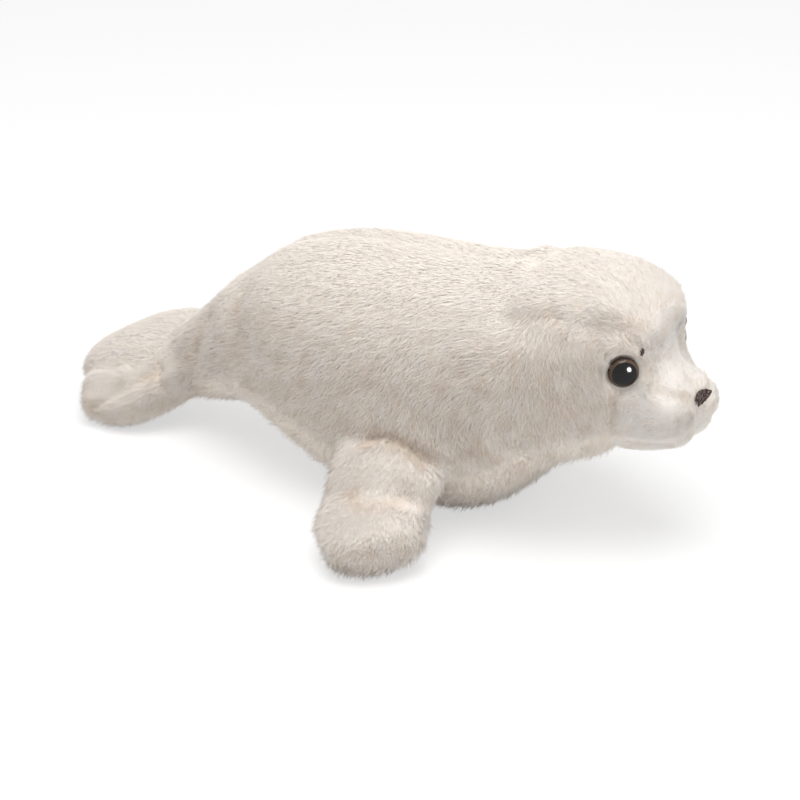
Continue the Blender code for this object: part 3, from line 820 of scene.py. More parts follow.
@dataclass
class StuffedBag:
    """Sewn bags of cloth and their fillings, made again as one smooth skin."""

    name: str
    fillings: tuple[str, ...]
    cuts: tuple[PileCut, ...]
    strokes: tuple[Stroke, ...]
    folds: tuple[Fold, ...]
    slacks: tuple[Slack, ...]
    holds: tuple[str, ...]
    eyes: "tuple[Eye, ...]"
    fill: float = 0.75
    voxel: float = 2.2 * MM
    seam_depth: float = 0.5 * MM
    seam_reach: float = 2.2 * MM
    # Even faces: rounds of drawing each point in and swelling it back
    even_rounds: int = 10
    draw_in: float = 0.5
    swell_back: float = -0.52
    # How the depth of the pile runs from one cut into the next, and the inset skin is eased, in rounds
    depth_rounds: int = 8
    ease: float = 0.3
    ease_rounds: int = 2
    # Pile starts this far off a held piece, is full so much further out, and grows long with the distance
    held_search: float = 20.0 * MM
    held_gap: float = 0.2 * MM
    held_fade: float = 0.8 * MM
    held_length: float = 0.28
    held_reach: float = 9.0 * MM
    # How much flatter pile lies on top, where its tint also varies less as painted light, and how much shorter
    # it is cut at seams and folds
    top_from: float = 0.35
    top_span: float = 0.5
    top_flatness: float = 0.65
    seam_cut: float = 0.3
    seam_cut_reach: float = 1.6
    fold_cut: float = 0.8
    # The comb follows near strokes much more than far ones
    comb_blur: float = 4.0 * MM
    comb_power: int = 3
    skin: bpy.types.Object | None = field(default=None, init=False)

    def panels(self) -> list[str]:
        """The names of the bag's panels, in the order of its cuts."""
        return [panel for cut in self.cuts for panel in cut.panels]

    def remeshed(self) -> bpy.types.Object:
        """Joins copies of the bags' nodes into one closed surface of even faces.

        Returns:
            The surface as an object.
        """
        joined = bmesh.new()
        for node in [*self.panels(), *self.fillings]:
            joined.from_mesh(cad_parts[node].data)
        bmesh.ops.remove_doubles(joined, verts=joined.verts, dist=0.001 * MM)
        mesh = bpy.data.meshes.new(self.name)
        joined.to_mesh(mesh)
        joined.free()
        rough = add_object(f"{self.name}_rough", mesh)
        remesh = rough.modifiers.new("even faces", "REMESH")
        remesh.mode, remesh.voxel_size, remesh.use_smooth_shade = "VOXEL", self.voxel, True
        even = evaluated_mesh(rough)
        discard(rough)
        self.keep_largest(even)
        return add_object(f"{self.name}_skin", even, BACKING)

    @staticmethod
    def keep_largest(mesh: bpy.types.Mesh) -> None:
        """Deletes every loose part of a mesh but the largest.

        Args:
            mesh: The mesh, changed in place.
        """
        pairs = edge_pairs(mesh)
        label = np.arange(len(mesh.vertices))
        while True:
            lower = label.copy()
            np.minimum.at(lower, pairs[:, 0], label[pairs[:, 1]])
            np.minimum.at(lower, pairs[:, 1], label[pairs[:, 0]])
            lower = lower[lower]
            if (lower == label).all():
                break
            label = lower
        largest = np.bincount(label).argmax()
        work = bmesh.new()
        work.from_mesh(mesh)
        work.verts.ensure_lookup_table()
        stray = [work.verts[k] for k in np.flatnonzero(label != largest)]
        bmesh.ops.delete(work, geom=stray, context="VERTS")
        work.to_mesh(mesh)
        work.free()

    def softened(self, mesh: bpy.types.Mesh, pairs: np.ndarray) -> np.ndarray:
        """Evens the surface, and slackens and swells it where the cloth is slack.

        Args:
            mesh: The surface, changed in place.
            pairs: The two points of each edge.

        Returns:
            The new places of its points.
        """
        places, _ = mesh_arrays(mesh)
        for _ in range(self.even_rounds):
            places = spread(spread(places, pairs, self.draw_in), pairs, self.swell_back)
        for slack in self.slacks:
            near = slack.nearness(places)[:, None]
            for _ in range(slack.rounds):
                places += near * (spread(places, pairs, self.draw_in) - places)
            place_points(mesh, places)
            places += near * mesh_arrays(mesh)[1] * slack.swell * MM
        place_points(mesh, places)
        return places

    def build(self) -> bpy.types.Object:
        """Builds the skin and marks on it where the pile grows and how it lies.

        Returns:
            The skin.
        """
        self.skin = self.remeshed()
        mesh = self.skin.data
        pairs = edge_pairs(mesh)
        places = self.softened(mesh, pairs)
        _, normals = mesh_arrays(mesh)

        trees = [node_tree_of(panel) for panel in self.panels()]
        apart = np.array([[tree.find_nearest(place)[3] for tree in trees] for place in places])
        order = np.argsort(apart, axis=1)
        panel = order[:, 0]
        seam = np.take_along_axis(apart, order[:, 1:2], 1)[:, 0]
        around = self.clearance(places)

        stands = np.array([cut.stand for cut in self.cuts for _ in cut.panels])[panel]
        groove = self.seam_depth * np.exp(-((seam / self.seam_reach) ** 2))
        inset = spread(stands, pairs, self.draw_in, self.depth_rounds) + groove
        places = spread(places - normals * inset[:, None], pairs, self.ease, self.ease_rounds)
        # Each fold's nearness times its shade: painted shade in the crease, where the pile is also cut shorter
        painted_crease_shade = np.zeros(len(places))
        for fold in self.folds:
            near = fold.nearness(places)
            places = places - normals * (near * fold.depth * MM)[:, None]
            painted_crease_shade = np.maximum(painted_crease_shade, near * fold.shade)
        for eye in self.eyes:
            places = eye.dished(places)
        place_points(mesh, places)

        self.mark("comb", "FLOAT_VECTOR", self.combed(places, normals))
        # Painted shade: the pile's tint is darkened along folds
        self.mark("shade", "FLOAT", painted_crease_shade)
        # Low on top: the pile lies flatter there, and its tint varies less, painted light that washes out the
        # top's texture
        top = rising(normals[:, 2], self.top_from, self.top_span)
        self.mark("upright", "FLOAT", 1 - self.top_flatness * top)
        at_seam = np.exp(-((seam / (self.seam_cut_reach * self.seam_reach)) ** 2))
        shorter = np.maximum(at_seam, self.fold_cut * painted_crease_shade)
        length = spread(1 - self.seam_cut * shorter, pairs, self.draw_in)
        self.mark("reach", "FLOAT", length * np.clip(self.held_length + around / self.held_reach, 0, 1))
        grows = rising(around, self.held_gap, self.held_fade)
        names = self.panels()
        for cut in self.cuts:
            here = np.isin(panel, [names.index(name) for name in cut.panels])
            self.mark(f"grows_{cut.name}", "FLOAT", here * grows)
        return self.skin

    def clearance(self, places: np.ndarray) -> np.ndarray:
        """How far each point lies outside the held pieces.

        Args:
            places: The points.

        Returns:
            The distances, negative inside a piece.
        """
        found = np.full(len(places), 1.0)
        for tree in [node_tree_of(name) for name in self.holds]:
            for k, place in enumerate(places):
                near, normal, _, gap = tree.find_nearest(place, self.held_search)
                if near is not None:
                    found[k] = min(found[k], -gap if (Vector(place) - near).dot(normal) < 0 else gap)
        return found

    def combed(self, places: np.ndarray, normals: np.ndarray) -> np.ndarray:
        """The direction in which the pile lies at each point, from the nearest brush strokes.

        Args:
            places: The points.
            normals: Their normals.

        Returns:
            Directions along the skin.
        """
        made = [(stroke, side) for stroke in self.strokes for side in sides(stroke.both_sides)]
        mirror = [Vector((1, side, 1)) for _, side in made]
        at = np.array([drawn(stroke.place) * side for (stroke, _), side in zip(made, mirror)])
        towards = [Vector(stroke.towards).normalized() * side for (stroke, _), side in zip(made, mirror)]
        gaps = np.linalg.norm(places[:, None] - at[None], axis=2)
        weights = 1 / (gaps + self.comb_blur) ** self.comb_power
        found = weights @ np.array(towards)
        found -= normals * (found * normals).sum(axis=1, keepdims=True)
        return found / np.maximum(np.linalg.norm(found, axis=1, keepdims=True), 1e-9)

    def mark(self, name: str, kind: str, values: np.ndarray) -> None:
        """Stores a value for each point of the skin.

        Args:
            name: The mark's name.
            kind: FLOAT or FLOAT_VECTOR.
            values: One row a point.
        """
        mark = self.skin.data.attributes.new(name, kind, "POINT")
        field_name = "vector" if kind == "FLOAT_VECTOR" else "value"
        mark.data.foreach_set(field_name, values.astype(np.float32).ravel())

    def finish(self) -> None:
        """Puts the finished skin on its body in place of the nodes that it stands for."""
        strip(self.skin.data, SKIN_MARKS)
        self.skin.name = f"{self.name}_skin"
        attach(self.skin, BODY)
        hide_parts(*self.panels(), *self.fillings)


def strand_mesh() -> bpy.types.Mesh:
    """One strand, a unit long and wide: three narrow sides that rise from the root to a point.

    Returns:
        The mesh, along +X, with +Z off the cloth.
    """
    mesh = bpy.data.meshes.new("strand")
    points = [(0.03, -0.5, -0.08), (0.03, 0.5, -0.08), (-0.03, 0.0, 0.0), (1.0, 0.0, 1.0)]
    mesh.from_pydata(points, [], [(0, 1, 3), (1, 2, 3), (2, 0, 3)])
    uv = mesh.uv_layers.new(name=STRAND_MAP)
    for loop in mesh.loops:
        x, y, _ = points[loop.vertex_index]
        uv.data[loop.index].uv = (y + 0.5, x)
    mesh.shade_smooth()
    return mesh


class PieceTree:
    """A Geometry Nodes tree with named inputs, which makes pieces out of guides."""

    NAME = ""
    INPUTS: dict[str, str] = {}

    def __init__(self) -> None:
        """Makes the tree with its named inputs and writes its nodes."""
        self.tree = bpy.data.node_groups.new(self.NAME, "GeometryNodeTree")
        self.tree.interface.new_socket("Geometry", in_out="OUTPUT", socket_type="NodeSocketGeometry")
        for name, kind in {"Geometry": "Geometry", **self.INPUTS, "Material": "Material"}.items():
            self.tree.interface.new_socket(name, in_out="INPUT", socket_type=f"NodeSocket{kind}")
        self.graph = Graph(self.tree)
        self.given = self.tree.nodes.new("NodeGroupInput")
        inputs = {"Geometry": self.written(), "Material": self.given_as("Material")}
        dressed = self.graph.value("GeometryNodeSetMaterial", inputs)
        self.graph.node("NodeGroupOutput", {"Geometry": dressed})

    def written(self) -> Signal:
        """Writes the nodes up to the bare geometry, which each kind of tree does for itself."""
        raise NotImplementedError

    def given_as(self, name: str) -> Signal:
        """One of the tree's named inputs."""
        return self.graph.pick(self.given, name)

    def run(self, guide: bpy.types.Object, values: dict[str, Any]) -> bpy.types.Mesh:
        """Runs the tree on a guide and removes the guide, but not its mesh.

        Args:
            guide: The guide.
            values: The tree's inputs by name.

        Returns:
            What the tree makes, as a plain mesh.
        """
        modifier = guide.modifiers.new("tree", "NODES")
        modifier.node_group = self.tree
        for item in self.tree.interface.items_tree:
            if item.item_type == "SOCKET" and item.in_out == "INPUT" and item.name in values:
                modifier[item.identifier] = values[item.name]
        mesh = evaluated_mesh(guide)
        bpy.data.objects.remove(guide)
        return mesh


class PileTree(PieceTree):
    """The tree that plants strands on a skin."""

    NAME = "combed_pile"
    INPUTS = {
        "Density": "Float",
        "Length": "Float",
        "Width": "Float",
        "Lift": "Float",
        "Tuft Size": "Float",
        "Tuft Pull": "Float",
        "Waver": "Float",
        "Floor": "Float",
        "Grows": "String",
        "Strand": "Object",
        "Seed": "Int",
    }
    # How strands differ: in length, in width, in lift and in roll about their own line
    LENGTHS = (0.62, 1.12)
    WIDTHS = (0.7, 1.15)
    LIFTS = (0.65, 1.35)
    ROLL = 0.55
    # Tufts are drawn together around points at most this dense, and waves of the pile are this wide
    TUFTS_MOST = 2.0e5
    WAVE_SIZE = 1 / 110
    # The tint: blotches of this size and strength, a strand's own share, the middle, and how far a fold's
    # painted shade darkens it
    BLOTCH_SIZE = 1 / 160
    BLOTCH_STRENGTH = 1.7
    OWN_TINT = 0.35
    MIDDLE_TINT = 0.53
    FOLD_PAINTED_SHADE = 0.9
    # Where the map's columns start and how wide they lie, across and along
    ACROSS = (0.015, 0.94, 0.03)
    ALONG = (0.02, 0.96)
    # How far a strand's normals follow the cloth's, on its sides and on top where the pile is brushed flat
    NAP_SHARES = (0.56, 0.95)
    TOP_NAP = (0.3, 0.5)

    def mark(self, name: "str | Signal", kind: str = "FLOAT") -> Signal:
        """A value that the skin or the strand carries."""
        return self.graph.value("GeometryNodeInputNamedAttribute", {"Name": name}, data_type=kind)

    def stored(self, given: Signal, name: str, value: Signal, kind: str, domain: str = "POINT") -> Signal:
        """The given geometry with a named value stored on it."""
        inputs = {"Geometry": given, "Name": name, "Value": value}
        return self.graph.value("GeometryNodeStoreNamedAttribute", inputs, data_type=kind, domain=domain)

    def chance(self, low: Any, high: Any, seed: int, kind: str = "FLOAT") -> Signal:
        """A random value for each strand.

        Args:
            low: The lowest value.
            high: The highest value.
            seed: What sets it apart from the tree's other random values.
            kind: FLOAT or FLOAT_VECTOR.

        Returns:
            The value.
        """
        inputs = {"Min": low, "Max": high, "Seed": self.given_as("Seed") + seed}
        return self.graph.value("FunctionNodeRandomValue", inputs, "Value", data_type=kind)

    def lie(self, place: Signal, length: Signal, upright: Signal) -> Signal:
        """Which way each strand leans: along the comb, towards its tuft, with waves and its own whim.

        Args:
            place: The strand's root.
            length: The pile's length.
            upright: How little the pile is brushed flat.

        Returns:
            The lean, as a vector.
        """
        graph = self.graph
        inputs = {
            "Mesh": self.given_as("Geometry"),
            "Distance Min": self.given_as("Tuft Size"),
            "Density Max": self.TUFTS_MOST,
        }
        centres = graph.value(
            "GeometryNodeDistributePointsOnFaces", inputs, "Points", distribute_method="POISSON"
        )
        inputs = {"Geometry": centres, "Sample Position": place}
        nearest = graph.value("GeometryNodeSampleNearest", inputs)
        inputs = {"Geometry": centres, "Value": place, "Index": nearest}
        centre = graph.value("GeometryNodeSampleIndex", inputs, data_type="FLOAT_VECTOR")
        wave = graph.noise(place, self.WAVE_SIZE, 1.0, "Color")
        wave = graph.maths("SUBTRACT", wave, (0.5,) * 3) * self.given_as("Waver")
        stray = self.chance((-0.5,) * 3, (0.5,) * 3, 1, "FLOAT_VECTOR")
        pull = (centre - place) * self.given_as("Tuft Pull") * upright
        return self.mark("comb", "FLOAT_VECTOR") * length + pull + (wave + stray) * length * upright

    def written(self) -> Signal:
        """Writes the nodes that plant, lean, tint and lay down the strands.

        Returns:
            The strands.
        """
        graph = self.graph
        planted = graph.node(
            "GeometryNodeDistributePointsOnFaces",
            {
                "Mesh": self.given_as("Geometry"),
                "Density": self.given_as("Density") * self.mark(self.given_as("Grows")),
                "Seed": self.given_as("Seed"),
            },
            distribute_method="RANDOM",
        )
        place = graph.value("GeometryNodeInputPosition")
        length = self.given_as("Length")
        upright = self.mark("upright")
        inputs = {"Rotation": graph.pick(planted, "Rotation"), "Vector": self.lie(place, length, upright)}
        turned = graph.value("FunctionNodeAlignRotationToVector", inputs, axis="X", pivot_axis="Z")
        inputs = {"Rotation": turned, "Rotate By": graph.joined(self.chance(-self.ROLL, self.ROLL, 2))}
        turned = graph.value("FunctionNodeRotateRotation", inputs, rotation_space="LOCAL")
        reach = length * self.mark("reach") * self.chance(*self.LENGTHS, 3)
        width = self.given_as("Width") * self.chance(*self.WIDTHS, 4)
        rise = reach * self.given_as("Lift") * upright * self.chance(*self.LIFTS, 5)
        blotch = (graph.noise(place, self.BLOTCH_SIZE) - 0.5) * self.BLOTCH_STRENGTH
        own = self.chance(-self.OWN_TINT, self.OWN_TINT, 6)
        # On top, where the pile lies flat, the tint varies less: painted light that washes the top's texture
        # out and leaves the dull brown strands to the sides. Along folds painted shade is taken off the tint
        tint = (blotch + own) * upright + self.MIDDLE_TINT - self.mark("shade") * self.FOLD_PAINTED_SHADE
        tint = graph.value("ShaderNodeClamp", {"Value": tint})
        tinted = self.stored(graph.pick(planted, "Points"), "tint", tint, "FLOAT")
        tinted = self.stored(tinted, "nap", graph.pick(planted, "Normal"), "FLOAT_VECTOR")
        strand = graph.value("GeometryNodeObjectInfo", {"Object": self.given_as("Strand")}, "Geometry")
        size = graph.joined(reach, width, rise)
        inputs = {"Points": tinted, "Instance": strand, "Rotation": turned, "Scale": size}
        strands = graph.value("GeometryNodeInstanceOnPoints", inputs)
        real = graph.value("GeometryNodeRealizeInstances", {"Geometry": strands})
        return self.resting(self.mapped(real))

    def mapped(self, strands: Signal) -> Signal:
        """Gives each strand its own narrow column of the map, at its tint.

        Args:
            strands: The strands' geometry.

        Returns:
            The geometry with its map.
        """
        tint, (start, reach, width) = self.mark("tint"), self.ACROSS
        x, y, _ = self.graph.parts(self.mark(STRAND_MAP, "FLOAT_VECTOR"))
        place = self.graph.joined(tint * reach + x * width + start, y * self.ALONG[1] + self.ALONG[0])
        return self.stored(strands, STRAND_MAP, place, "FLOAT2", "CORNER")

    def resting(self, strands: Signal) -> Signal:
        """Presses the strands flat where they would pass through what the toy lies on.

        Args:
            strands: The strands' geometry.

        Returns:
            The pressed geometry.
        """
        x, y, z = self.graph.parts(self.graph.value("GeometryNodeInputPosition"))
        pressed = self.graph.joined(x, y, self.graph.maths("MAXIMUM", z, self.given_as("Floor")))
        return self.graph.value("GeometryNodeSetPosition", {"Geometry": strands, "Position": pressed})

    def pile(self, skin: bpy.types.Object, name: str, values: dict[str, Any]) -> bpy.types.Mesh:
        """Plants strands on a skin, which stays as it is.

        Args:
            skin: The marked skin.
            name: The pile's name.
            values: The tree's inputs by name.

        Returns:
            The strands as a plain mesh.
        """
        mesh = self.run(add_object(f"{name}_bed", skin.data), values)
        mesh.name = name
        self.soften(mesh)
        strip(mesh, PILE_MARKS)
        return mesh

    def soften(self, mesh: bpy.types.Mesh) -> None:
        """Turns the strands' normals towards those of the cloth, so that light glides over the pile.

        Args:
            mesh: The strands, changed in place.
        """
        nap = np.empty(len(mesh.vertices) * 3)
        mesh.attributes["nap"].data.foreach_get("vector", nap)
        nap = nap.reshape(-1, 3)
        _, own = mesh_arrays(mesh)
        low, high = self.NAP_SHARES
        share = low + (high - low) * rising(nap[:, 2:], *self.TOP_NAP)
        mixed = nap * share + own * (1 - share)
        mixed /= np.linalg.norm(mixed, axis=1, keepdims=True)
        mesh.normals_split_custom_set_from_vertices(mixed)


@dataclass
class Groomer:
    """Plants the pile of every cut and puts it on its body."""

    tuft_size: float = 2.8 * MM
    tuft_for: float = 6.0 * MM
    tuft_pull: float = 0.7
    waver: float = 1.3
    floor: float = 0.4 * MM
    seed: int = 7
    tree: PileTree = field(default_factory=PileTree)
    strand: bpy.types.Object = field(init=False)

    def __post_init__(self) -> None:
        """Puts the one strand that all pile is made of beside the scene's pieces."""
        self.strand = add_object("strand", strand_mesh())
        self.strand.hide_render = True

    def growing_area(self, skin: bpy.types.Object, name: str) -> float:
        """The area of a skin on which one cut of pile grows.

        Args:
            skin: The marked skin.
            name: The cut's name.

        Returns:
            The area in square metres.
        """
        mesh = skin.data
        grows = np.empty(len(mesh.vertices))
        mesh.attributes[f"grows_{name}"].data.foreach_get("value", grows)
        return sum(face.area * grows[list(face.vertices)].mean() for face in mesh.polygons)

    def plant(self, bag: StuffedBag) -> None:
        """Plants every cut of pile of one bag.

        Args:
            bag: The bag, with its skin built.
        """
        for number, cut in enumerate(bag.cuts):
            values = {
                "Density": cut.strands / self.growing_area(bag.skin, cut.name),
                "Length": cut.length,
                "Width": cut.width,
                "Lift": cut.lift,
                "Tuft Size": self.tuft_size * cut.length / self.tuft_for,
                "Tuft Pull": self.tuft_pull,
                "Waver": self.waver,
                "Floor": self.floor,
                "Grows": f"grows_{cut.name}",
                "Strand": self.strand,
                "Material": cut.finish.material(),
                "Seed": self.seed + 10 * number,
            }
            pile = add_object(cut.name, self.tree.pile(bag.skin, cut.name, values))
            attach(pile, BODY)
            log.info("%s: %d faces", cut.name, len(pile.data.polygons))

    def finish(self) -> None:
        """Clears the pattern strand away."""
        discard(self.strand)


@dataclass
class Eye:
    """A domed plastic eye on a shank, drawn as a plain rod without its barbs, as wide and as deep in the head
    as its node.
    """

    side: str
    radius: float = 6.3 * MM
    dome: float = 4.4 * MM
    rim: float = 0.9 * MM
    shank: float = 1.7 * MM
    shank_length: float = 11.0 * MM
    steps: int = 56
    arc_steps: int = 18
    lid_slope: float = 0.5
    sunk: float = 0.2 * MM
    lip: tuple[float, float, float] = (0.97, 0.2, 0.8)
    sharp: float = 50.0

    def axis(self) -> tuple[Vector, Vector]:
        """Where the eye's underside lies and which way it faces.

        Returns:
            The middle of its underside and its direction out of the head.
        """
        washer = np.array([v.co[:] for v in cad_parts[f"{self.side}_eye_washer"].data.vertices])
        middle = washer.mean(axis=0)
        out = Vector(np.linalg.svd(washer - middle, full_matrices=False)[2][2])
        if out.y * (1 if self.side == "left" else -1) < 0:
            out.negate()
        top = max(out.dot(v.co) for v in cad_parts[f"{self.side}_eye"].data.vertices)
        middle = Vector(middle)
        return middle + out * (top - self.dome - out.dot(middle)), out

    def dished(self, places: np.ndarray) -> np.ndarray:
        """Presses the cloth down where the eye is drawn into it.

        Args:
            places: The points of the skin.

        Returns:
            The points, lowered under the eye and round its rim.
        """
        middle, out = (np.array(part) for part in self.axis())
        apart = places - middle
        height = apart @ out
        off = np.linalg.norm(apart - height[:, None] * out, axis=1)
        most = (off - self.radius) * self.lid_slope - self.sunk
        lower = np.maximum(height - np.where(off < self.radius, -self.sunk, most), 0)
        near = (off < 3 * self.radius) & (height > -self.shank_length)
        return places - np.where(near, lower, 0)[:, None] * out

    def profile(self) -> list[tuple[float, float]]:
        """The outline that is turned into the eye.

        Returns:
            Radius and height from the shank's end to the top of the dome.
        """
        flat, low, high = self.lip
        outline = [(0.0, -self.shank_length), (self.shank, -self.shank_length), (self.shank, 0.0)]
        outline += [(self.radius * flat, 0.0), (self.radius, low * self.rim), (self.radius, high * self.rim)]
        rise = self.dome - self.rim * high
        for step in range(1, self.arc_steps):
            angle = math.pi / 2 * step / self.arc_steps
            outline.append((self.radius * math.cos(angle), self.rim * high + rise * math.sin(angle)))
        return outline + [(0.0, self.dome)]

    def build(self) -> bpy.types.Object:
        """Turns the profile round the eye's axis and gives it the ringed finish.

        Returns:
            The eye.
        """
        place, out = self.axis()
        stand = Matrix.Translation(place) @ out.to_track_quat("Z", "Y").to_matrix().to_4x4()
        work = bmesh.new()
        line = [work.verts.new((radius, 0.0, height)) for radius, height in self.profile()]
        edges = [work.edges.new(pair) for pair in zip(line, line[1:])]
        bmesh.ops.spin(
            work, geom=[*line, *edges], axis=(0, 0, 1), cent=(0, 0, 0), angle=math.tau, steps=self.steps
        )
        bmesh.ops.remove_doubles(work, verts=work.verts, dist=0.001 * MM)
        bmesh.ops.recalc_face_normals(work, faces=work.faces)
        uv = work.loops.layers.uv.new("dome")
        for face in work.faces:
            face.smooth = True
            for loop in face.loops:
                loop[uv].uv = [0.5 + part / self.radius / 2 for part in loop.vert.co.xy]
        work.transform(stand)
        mesh = bpy.data.meshes.new(f"{self.side}_domed_eye")
        work.to_mesh(mesh)
        work.free()
        mesh.set_sharp_from_angle(angle=math.radians(self.sharp))
        eye = add_object(f"{self.side}_domed_eye", mesh, EYE_PLASTIC)
        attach(eye, BODY)
        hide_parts(f"{self.side}_eye")
        return eye


class StitchTree(PieceTree):
    """The tree that lays a thread along each edge of a guide."""

    NAME = "satin_stitch"
    INPUTS = {"Thread": "Float", "Bulge": "Float", "Facing": "Vector"}
    # How many points a thread has along it and around it
    ALONG = 9
    AROUND = 7

    def written(self) -> Signal:
        """Writes the nodes that arch each edge and give it a round section.

        Returns:
            The threads.
        """
        graph = self.graph
        lines = graph.value("GeometryNodeMeshToCurve", {"Mesh": self.given_as("Geometry")})
        lines = graph.value("GeometryNodeResampleCurve", {"Curve": lines, "Count": self.ALONG})
        share = graph.value("GeometryNodeSplineParameter", output="Factor")
        rise = self.given_as("Facing") * (graph.maths("SINE", share * math.pi) * self.given_as("Bulge"))
        lines = graph.value("GeometryNodeSetPosition", {"Geometry": lines, "Offset": rise})
        inputs = {"Resolution": self.AROUND, "Radius": self.given_as("Thread")}
        section = graph.value("GeometryNodeCurvePrimitiveCircle", inputs)
        inputs = {"Curve": lines, "Profile Curve": section, "Fill Caps": True}
        threads = graph.value("GeometryNodeCurveToMesh", inputs)
        return graph.value("GeometryNodeRealizeInstances", {"Geometry": threads})

    def threads(self, name: str, ends: list[tuple[Vector, Vector]], values: dict[str, Any]) -> bpy.types.Mesh:
        """Lays a thread between each pair of ends.

        Args:
            name: The embroidery's name.
            ends: The two ends of each thread.
            values: The tree's inputs by name.

        Returns:
            The threads as a plain mesh.
        """
        guide = bpy.data.meshes.new(f"{name}_guide")
        edges = [(2 * k, 2 * k + 1) for k in range(len(ends))]
        guide.from_pydata([point for pair in ends for point in pair], edges, [])
        mesh = self.run(add_object(f"{name}_guide", guide), values)
        bpy.data.meshes.remove(guide)
        mesh.shade_smooth()
        return mesh


@dataclass
class Embroidery:
    """A satin-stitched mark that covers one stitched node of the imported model."""

    name: str
    node: str
    thread: float = 0.30 * MM
    spacing: float = 0.42 * MM
    bulge: float = 0.35 * MM
    sunk: float = 1.3 * MM
    fan: float = 0.18
    jitter: float = 0.25 * MM
    probes: int = 40
    probe_from: float = 10.0 * MM
    seed: int = 3

    def build(self, tree: StitchTree) -> bpy.types.Object:
        """Lays threads side by side over the node's outline.

        Args:
            tree: The stitch tree.

        Returns:
            The embroidery.
        """
        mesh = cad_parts[self.node].data
        places = np.array([v.co[:] for v in mesh.vertices])
        middle = places.mean(axis=0)
        _, _, axes = np.linalg.svd(places - middle, full_matrices=False)
        facing = Vector(axes[2])
        if facing.dot(Vector(middle) - Vector((0.0, 0.0, middle[2]))) < 0:
            facing.negate()
        up = (Vector((0, 0, 1)) - facing * facing.z).normalized()
        across = up.cross(facing)
        surface = node_tree_of(self.node)
        flat = np.array([(across.dot(Vector(p - middle)), up.dot(Vector(p - middle))) for p in places])
        low, high = flat[:, 0].min(), flat[:, 0].max()
        chance = np.random.default_rng(self.seed)
        count = int((high - low) / self.spacing)
        ends = []
        for k in range(count):
            x = low + (high - low) * (k + 0.5) / count
            heights = []
            for y in np.linspace(flat[:, 1].min(), flat[:, 1].max(), self.probes):
                start = Vector(middle) + across * x + up * y + facing * self.probe_from
                hit = surface.ray_cast(start, -facing)[0]
                if hit is not None:
                    heights.append(hit - facing * self.sunk)
            if len(heights) < 2:
                continue
            lean = across * (x * self.fan)
            jitter = chance.uniform(-self.jitter, self.jitter, 2)
            ends.append((heights[0] - lean + up * jitter[0], heights[-1] + lean + up * jitter[1]))
        values = {"Thread": self.thread, "Bulge": self.bulge, "Facing": facing, "Material": THREAD.material()}
        piece = add_object(self.name, tree.threads(self.name, ends, values))
        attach(piece, BODY)
        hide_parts(self.node)
        return piece


@dataclass
class Studio:
    """A pale floor, soft light and the camera at the photograph's angle."""

    azimuth: float = 33.3
    elevation: float = 22.9
    distance: float = 1.028
    focal_pixels: float = 2364.0
    image_pixels: float = 800.0
    sensor: float = 36.0
    target: Vector = field(default_factory=lambda: Vector((0.0, 0.0, 0.055)))
    aim_right: float = 10.9 * MM
    aim_down: float = 21.7 * MM
    floor_size: float = 14.0
    sky: float = 0.62
    key_place: Place = (0.22, -0.26, 1.25)
    key_size: float = 1.0
    key_watts: float = 14.0
    glint_place: Place = (1.15, -0.41, 0.22)
    glint_size: float = 0.42
    glint_watts: float = 26.0

    def build(self) -> None:
        """Builds the camera, the floor and the lights."""
        turn, rise = math.radians(self.azimuth), math.radians(self.elevation)
        back = Vector((math.sin(turn) * math.cos(rise), -math.cos(turn) * math.cos(rise), math.sin(rise)))
        right = Vector((math.cos(turn), math.sin(turn), 0))
        up = back.cross(right)
        data = bpy.data.cameras.new("camera")
        data.sensor_width = self.sensor
        data.lens = self.focal_pixels / self.image_pixels * self.sensor
        camera = bpy.data.objects.new("camera", data)
        camera.location = self.target + back * self.distance
        aim = self.target + right * self.aim_right - up * self.aim_down
        camera.rotation_euler = (aim - camera.location).to_track_quat("-Z", "Y").to_euler()
        bpy.context.scene.collection.objects.link(camera)
        bpy.context.scene.camera = camera
        self.add_floor()
        self.add_lamp("overhead_softbox", Vector(self.key_place), self.key_size, self.key_watts)
        glint = self.add_lamp("eye_light", Vector(self.glint_place), self.glint_size, self.glint_watts)
        glint.visible_diffuse = False
        self.add_sky()
        bpy.context.scene.view_settings.view_transform = "Standard"

    def add_floor(self) -> None:
        """Lays the pale paper that the toy lies on."""
        mesh = bpy.data.meshes.new("studio_floor")
        half = self.floor_size / 2
        corners = [(-half, -half, 0), (half, -half, 0), (half, half, 0), (-half, half, 0)]
        mesh.from_pydata(corners, [], [(0, 1, 2, 3)])
        add_object("studio_floor", mesh, PAPER)

    def add_lamp(self, name: str, place: Vector, size: float, watts: float) -> bpy.types.Object:
        """Hangs a round soft lamp that faces the toy.

        Args:
            name: The lamp's name.
            place: Where it hangs.
            size: Its width.
            watts: Its power.

        Returns:
            The lamp.
        """
        data = bpy.data.lights.new(name, "AREA")
        data.shape, data.size, data.energy = "DISK", size, watts
        lamp = bpy.data.objects.new(name, data)
        lamp.location = place
        lamp.rotation_euler = (self.target - place).to_track_quat("-Z", "Y").to_euler()
        bpy.context.scene.collection.objects.link(lamp)
        return lamp

    def add_sky(self) -> None:
        """Lights the scene evenly, with a white background to the camera and in reflections."""
        world = bpy.data.worlds.new("soft_sky")
        world.use_nodes = True
        world.node_tree.nodes.clear()
        graph = Graph(world.node_tree)
        strength = graph.seen() * (1.0 - self.sky) + self.sky
        light = graph.value("ShaderNodeBackground", {"Color": WHITE, "Strength": strength})
        graph.node("ShaderNodeOutputWorld", {"Surface": light})
        bpy.context.scene.world = world


FLIPPERS = ("left_front_flipper", "right_front_flipper", "left_hind_flipper", "right_hind_flipper")


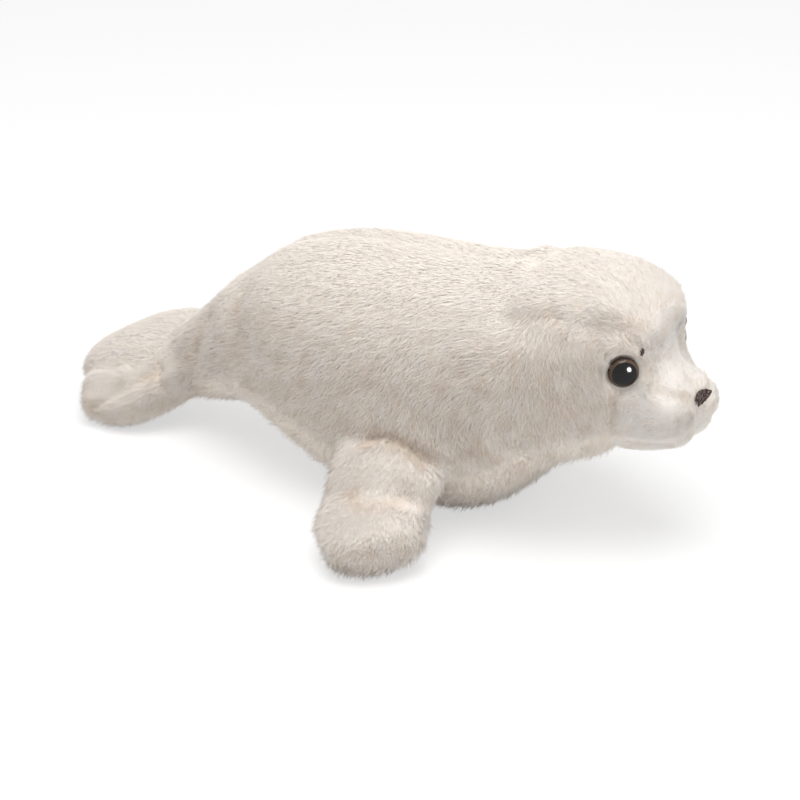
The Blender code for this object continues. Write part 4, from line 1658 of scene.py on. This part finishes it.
def body_bag() -> StuffedBag:
    """The body, head and flippers, with long pile on all but the short-piled face.

    Returns:
        The bag.
    """
    face = {
        "length": 2.6 * MM,
        "width": 0.26 * MM,
        "stand": 1.5 * MM,
        "lift": 0.5,
        "finish": SHORT_PILE,
        "slot": Slot.SHORT_PLUSH,
    }
    cuts = (
        PileCut("left_side_pile", ("left_side_panel",), 60000),
        PileCut("right_side_pile", ("right_side_panel",), 64000),
        PileCut("belly_pile", ("belly_panel",), 17000, width=0.36 * MM),
        PileCut("crown_pile", ("crown_panel",), 27000, length=4.0 * MM),
        PileCut("left_cheek_pile", ("left_cheek_panel",), 9000, **face),
        PileCut("right_cheek_pile", ("right_cheek_panel",), 11000, **face),
        PileCut("bridge_pile", ("bridge_panel",), 11000, **face),
        PileCut("chin_pile", ("chin_panel",), 8000, **face),
        *(flipper_cut(flipper, half) for flipper in FLIPPERS for half in ("top", "bottom")),
    )
    return StuffedBag(
        name="body",
        fillings=("body_filling", *(f"{flipper}_filling" for flipper in FLIPPERS)),
        cuts=cuts,
        strokes=(*BODY_STROKES, *FRONT_FLIPPER_STROKES, *HIND_FLIPPER_STROKES),
        folds=(*BODY_SWELLS, *BODY_FOLDS),
        slacks=BODY_SLACKS,
        holds=("left_eye", "right_eye", "nose_stitching"),
        eyes=(Eye("left"), Eye("right")),
    )


def flipper_cut(flipper: str, half: str) -> PileCut:
    """The pile on one half of a flipper.

    Args:
        flipper: The flipper's name.
        half: top or bottom.

    Returns:
        The cut.
    """
    node = f"{flipper}_{half}"
    return PileCut(f"{node}_pile", (node,), 16000 if half == "top" else 7000, length=5.0 * MM)


def main() -> None:
    """Builds every piece in order."""
    logging.basicConfig(level=logging.INFO, format="%(name)s: %(message)s")
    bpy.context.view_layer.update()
    Studio().build()
    bag = body_bag()
    bag.build()
    log.info("%s: %d faces", bag.skin.name, len(bag.skin.data.polygons))
    groomer = Groomer()
    groomer.plant(bag)
    bag.finish()
    groomer.finish()
    for side in ("left", "right"):
        log.info("built %s", Eye(side).build().name)
        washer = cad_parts[f"{side}_eye_washer"]
        washer.data.materials.clear()
        washer.data.materials.append(WASHER_PLASTIC.material())
    stitches = StitchTree()
    log.info("built %s", Embroidery("satin_nose", "nose_stitching").build(stitches).name)
    for side in ("left", "right"):
        mark = Embroidery(f"{side}_satin_brow", f"{side}_brow_stitching", thread=0.22 * MM, sunk=2.0 * MM)
        log.info("built %s", mark.build(stitches).name)


if __name__ == "__main__":
    main()
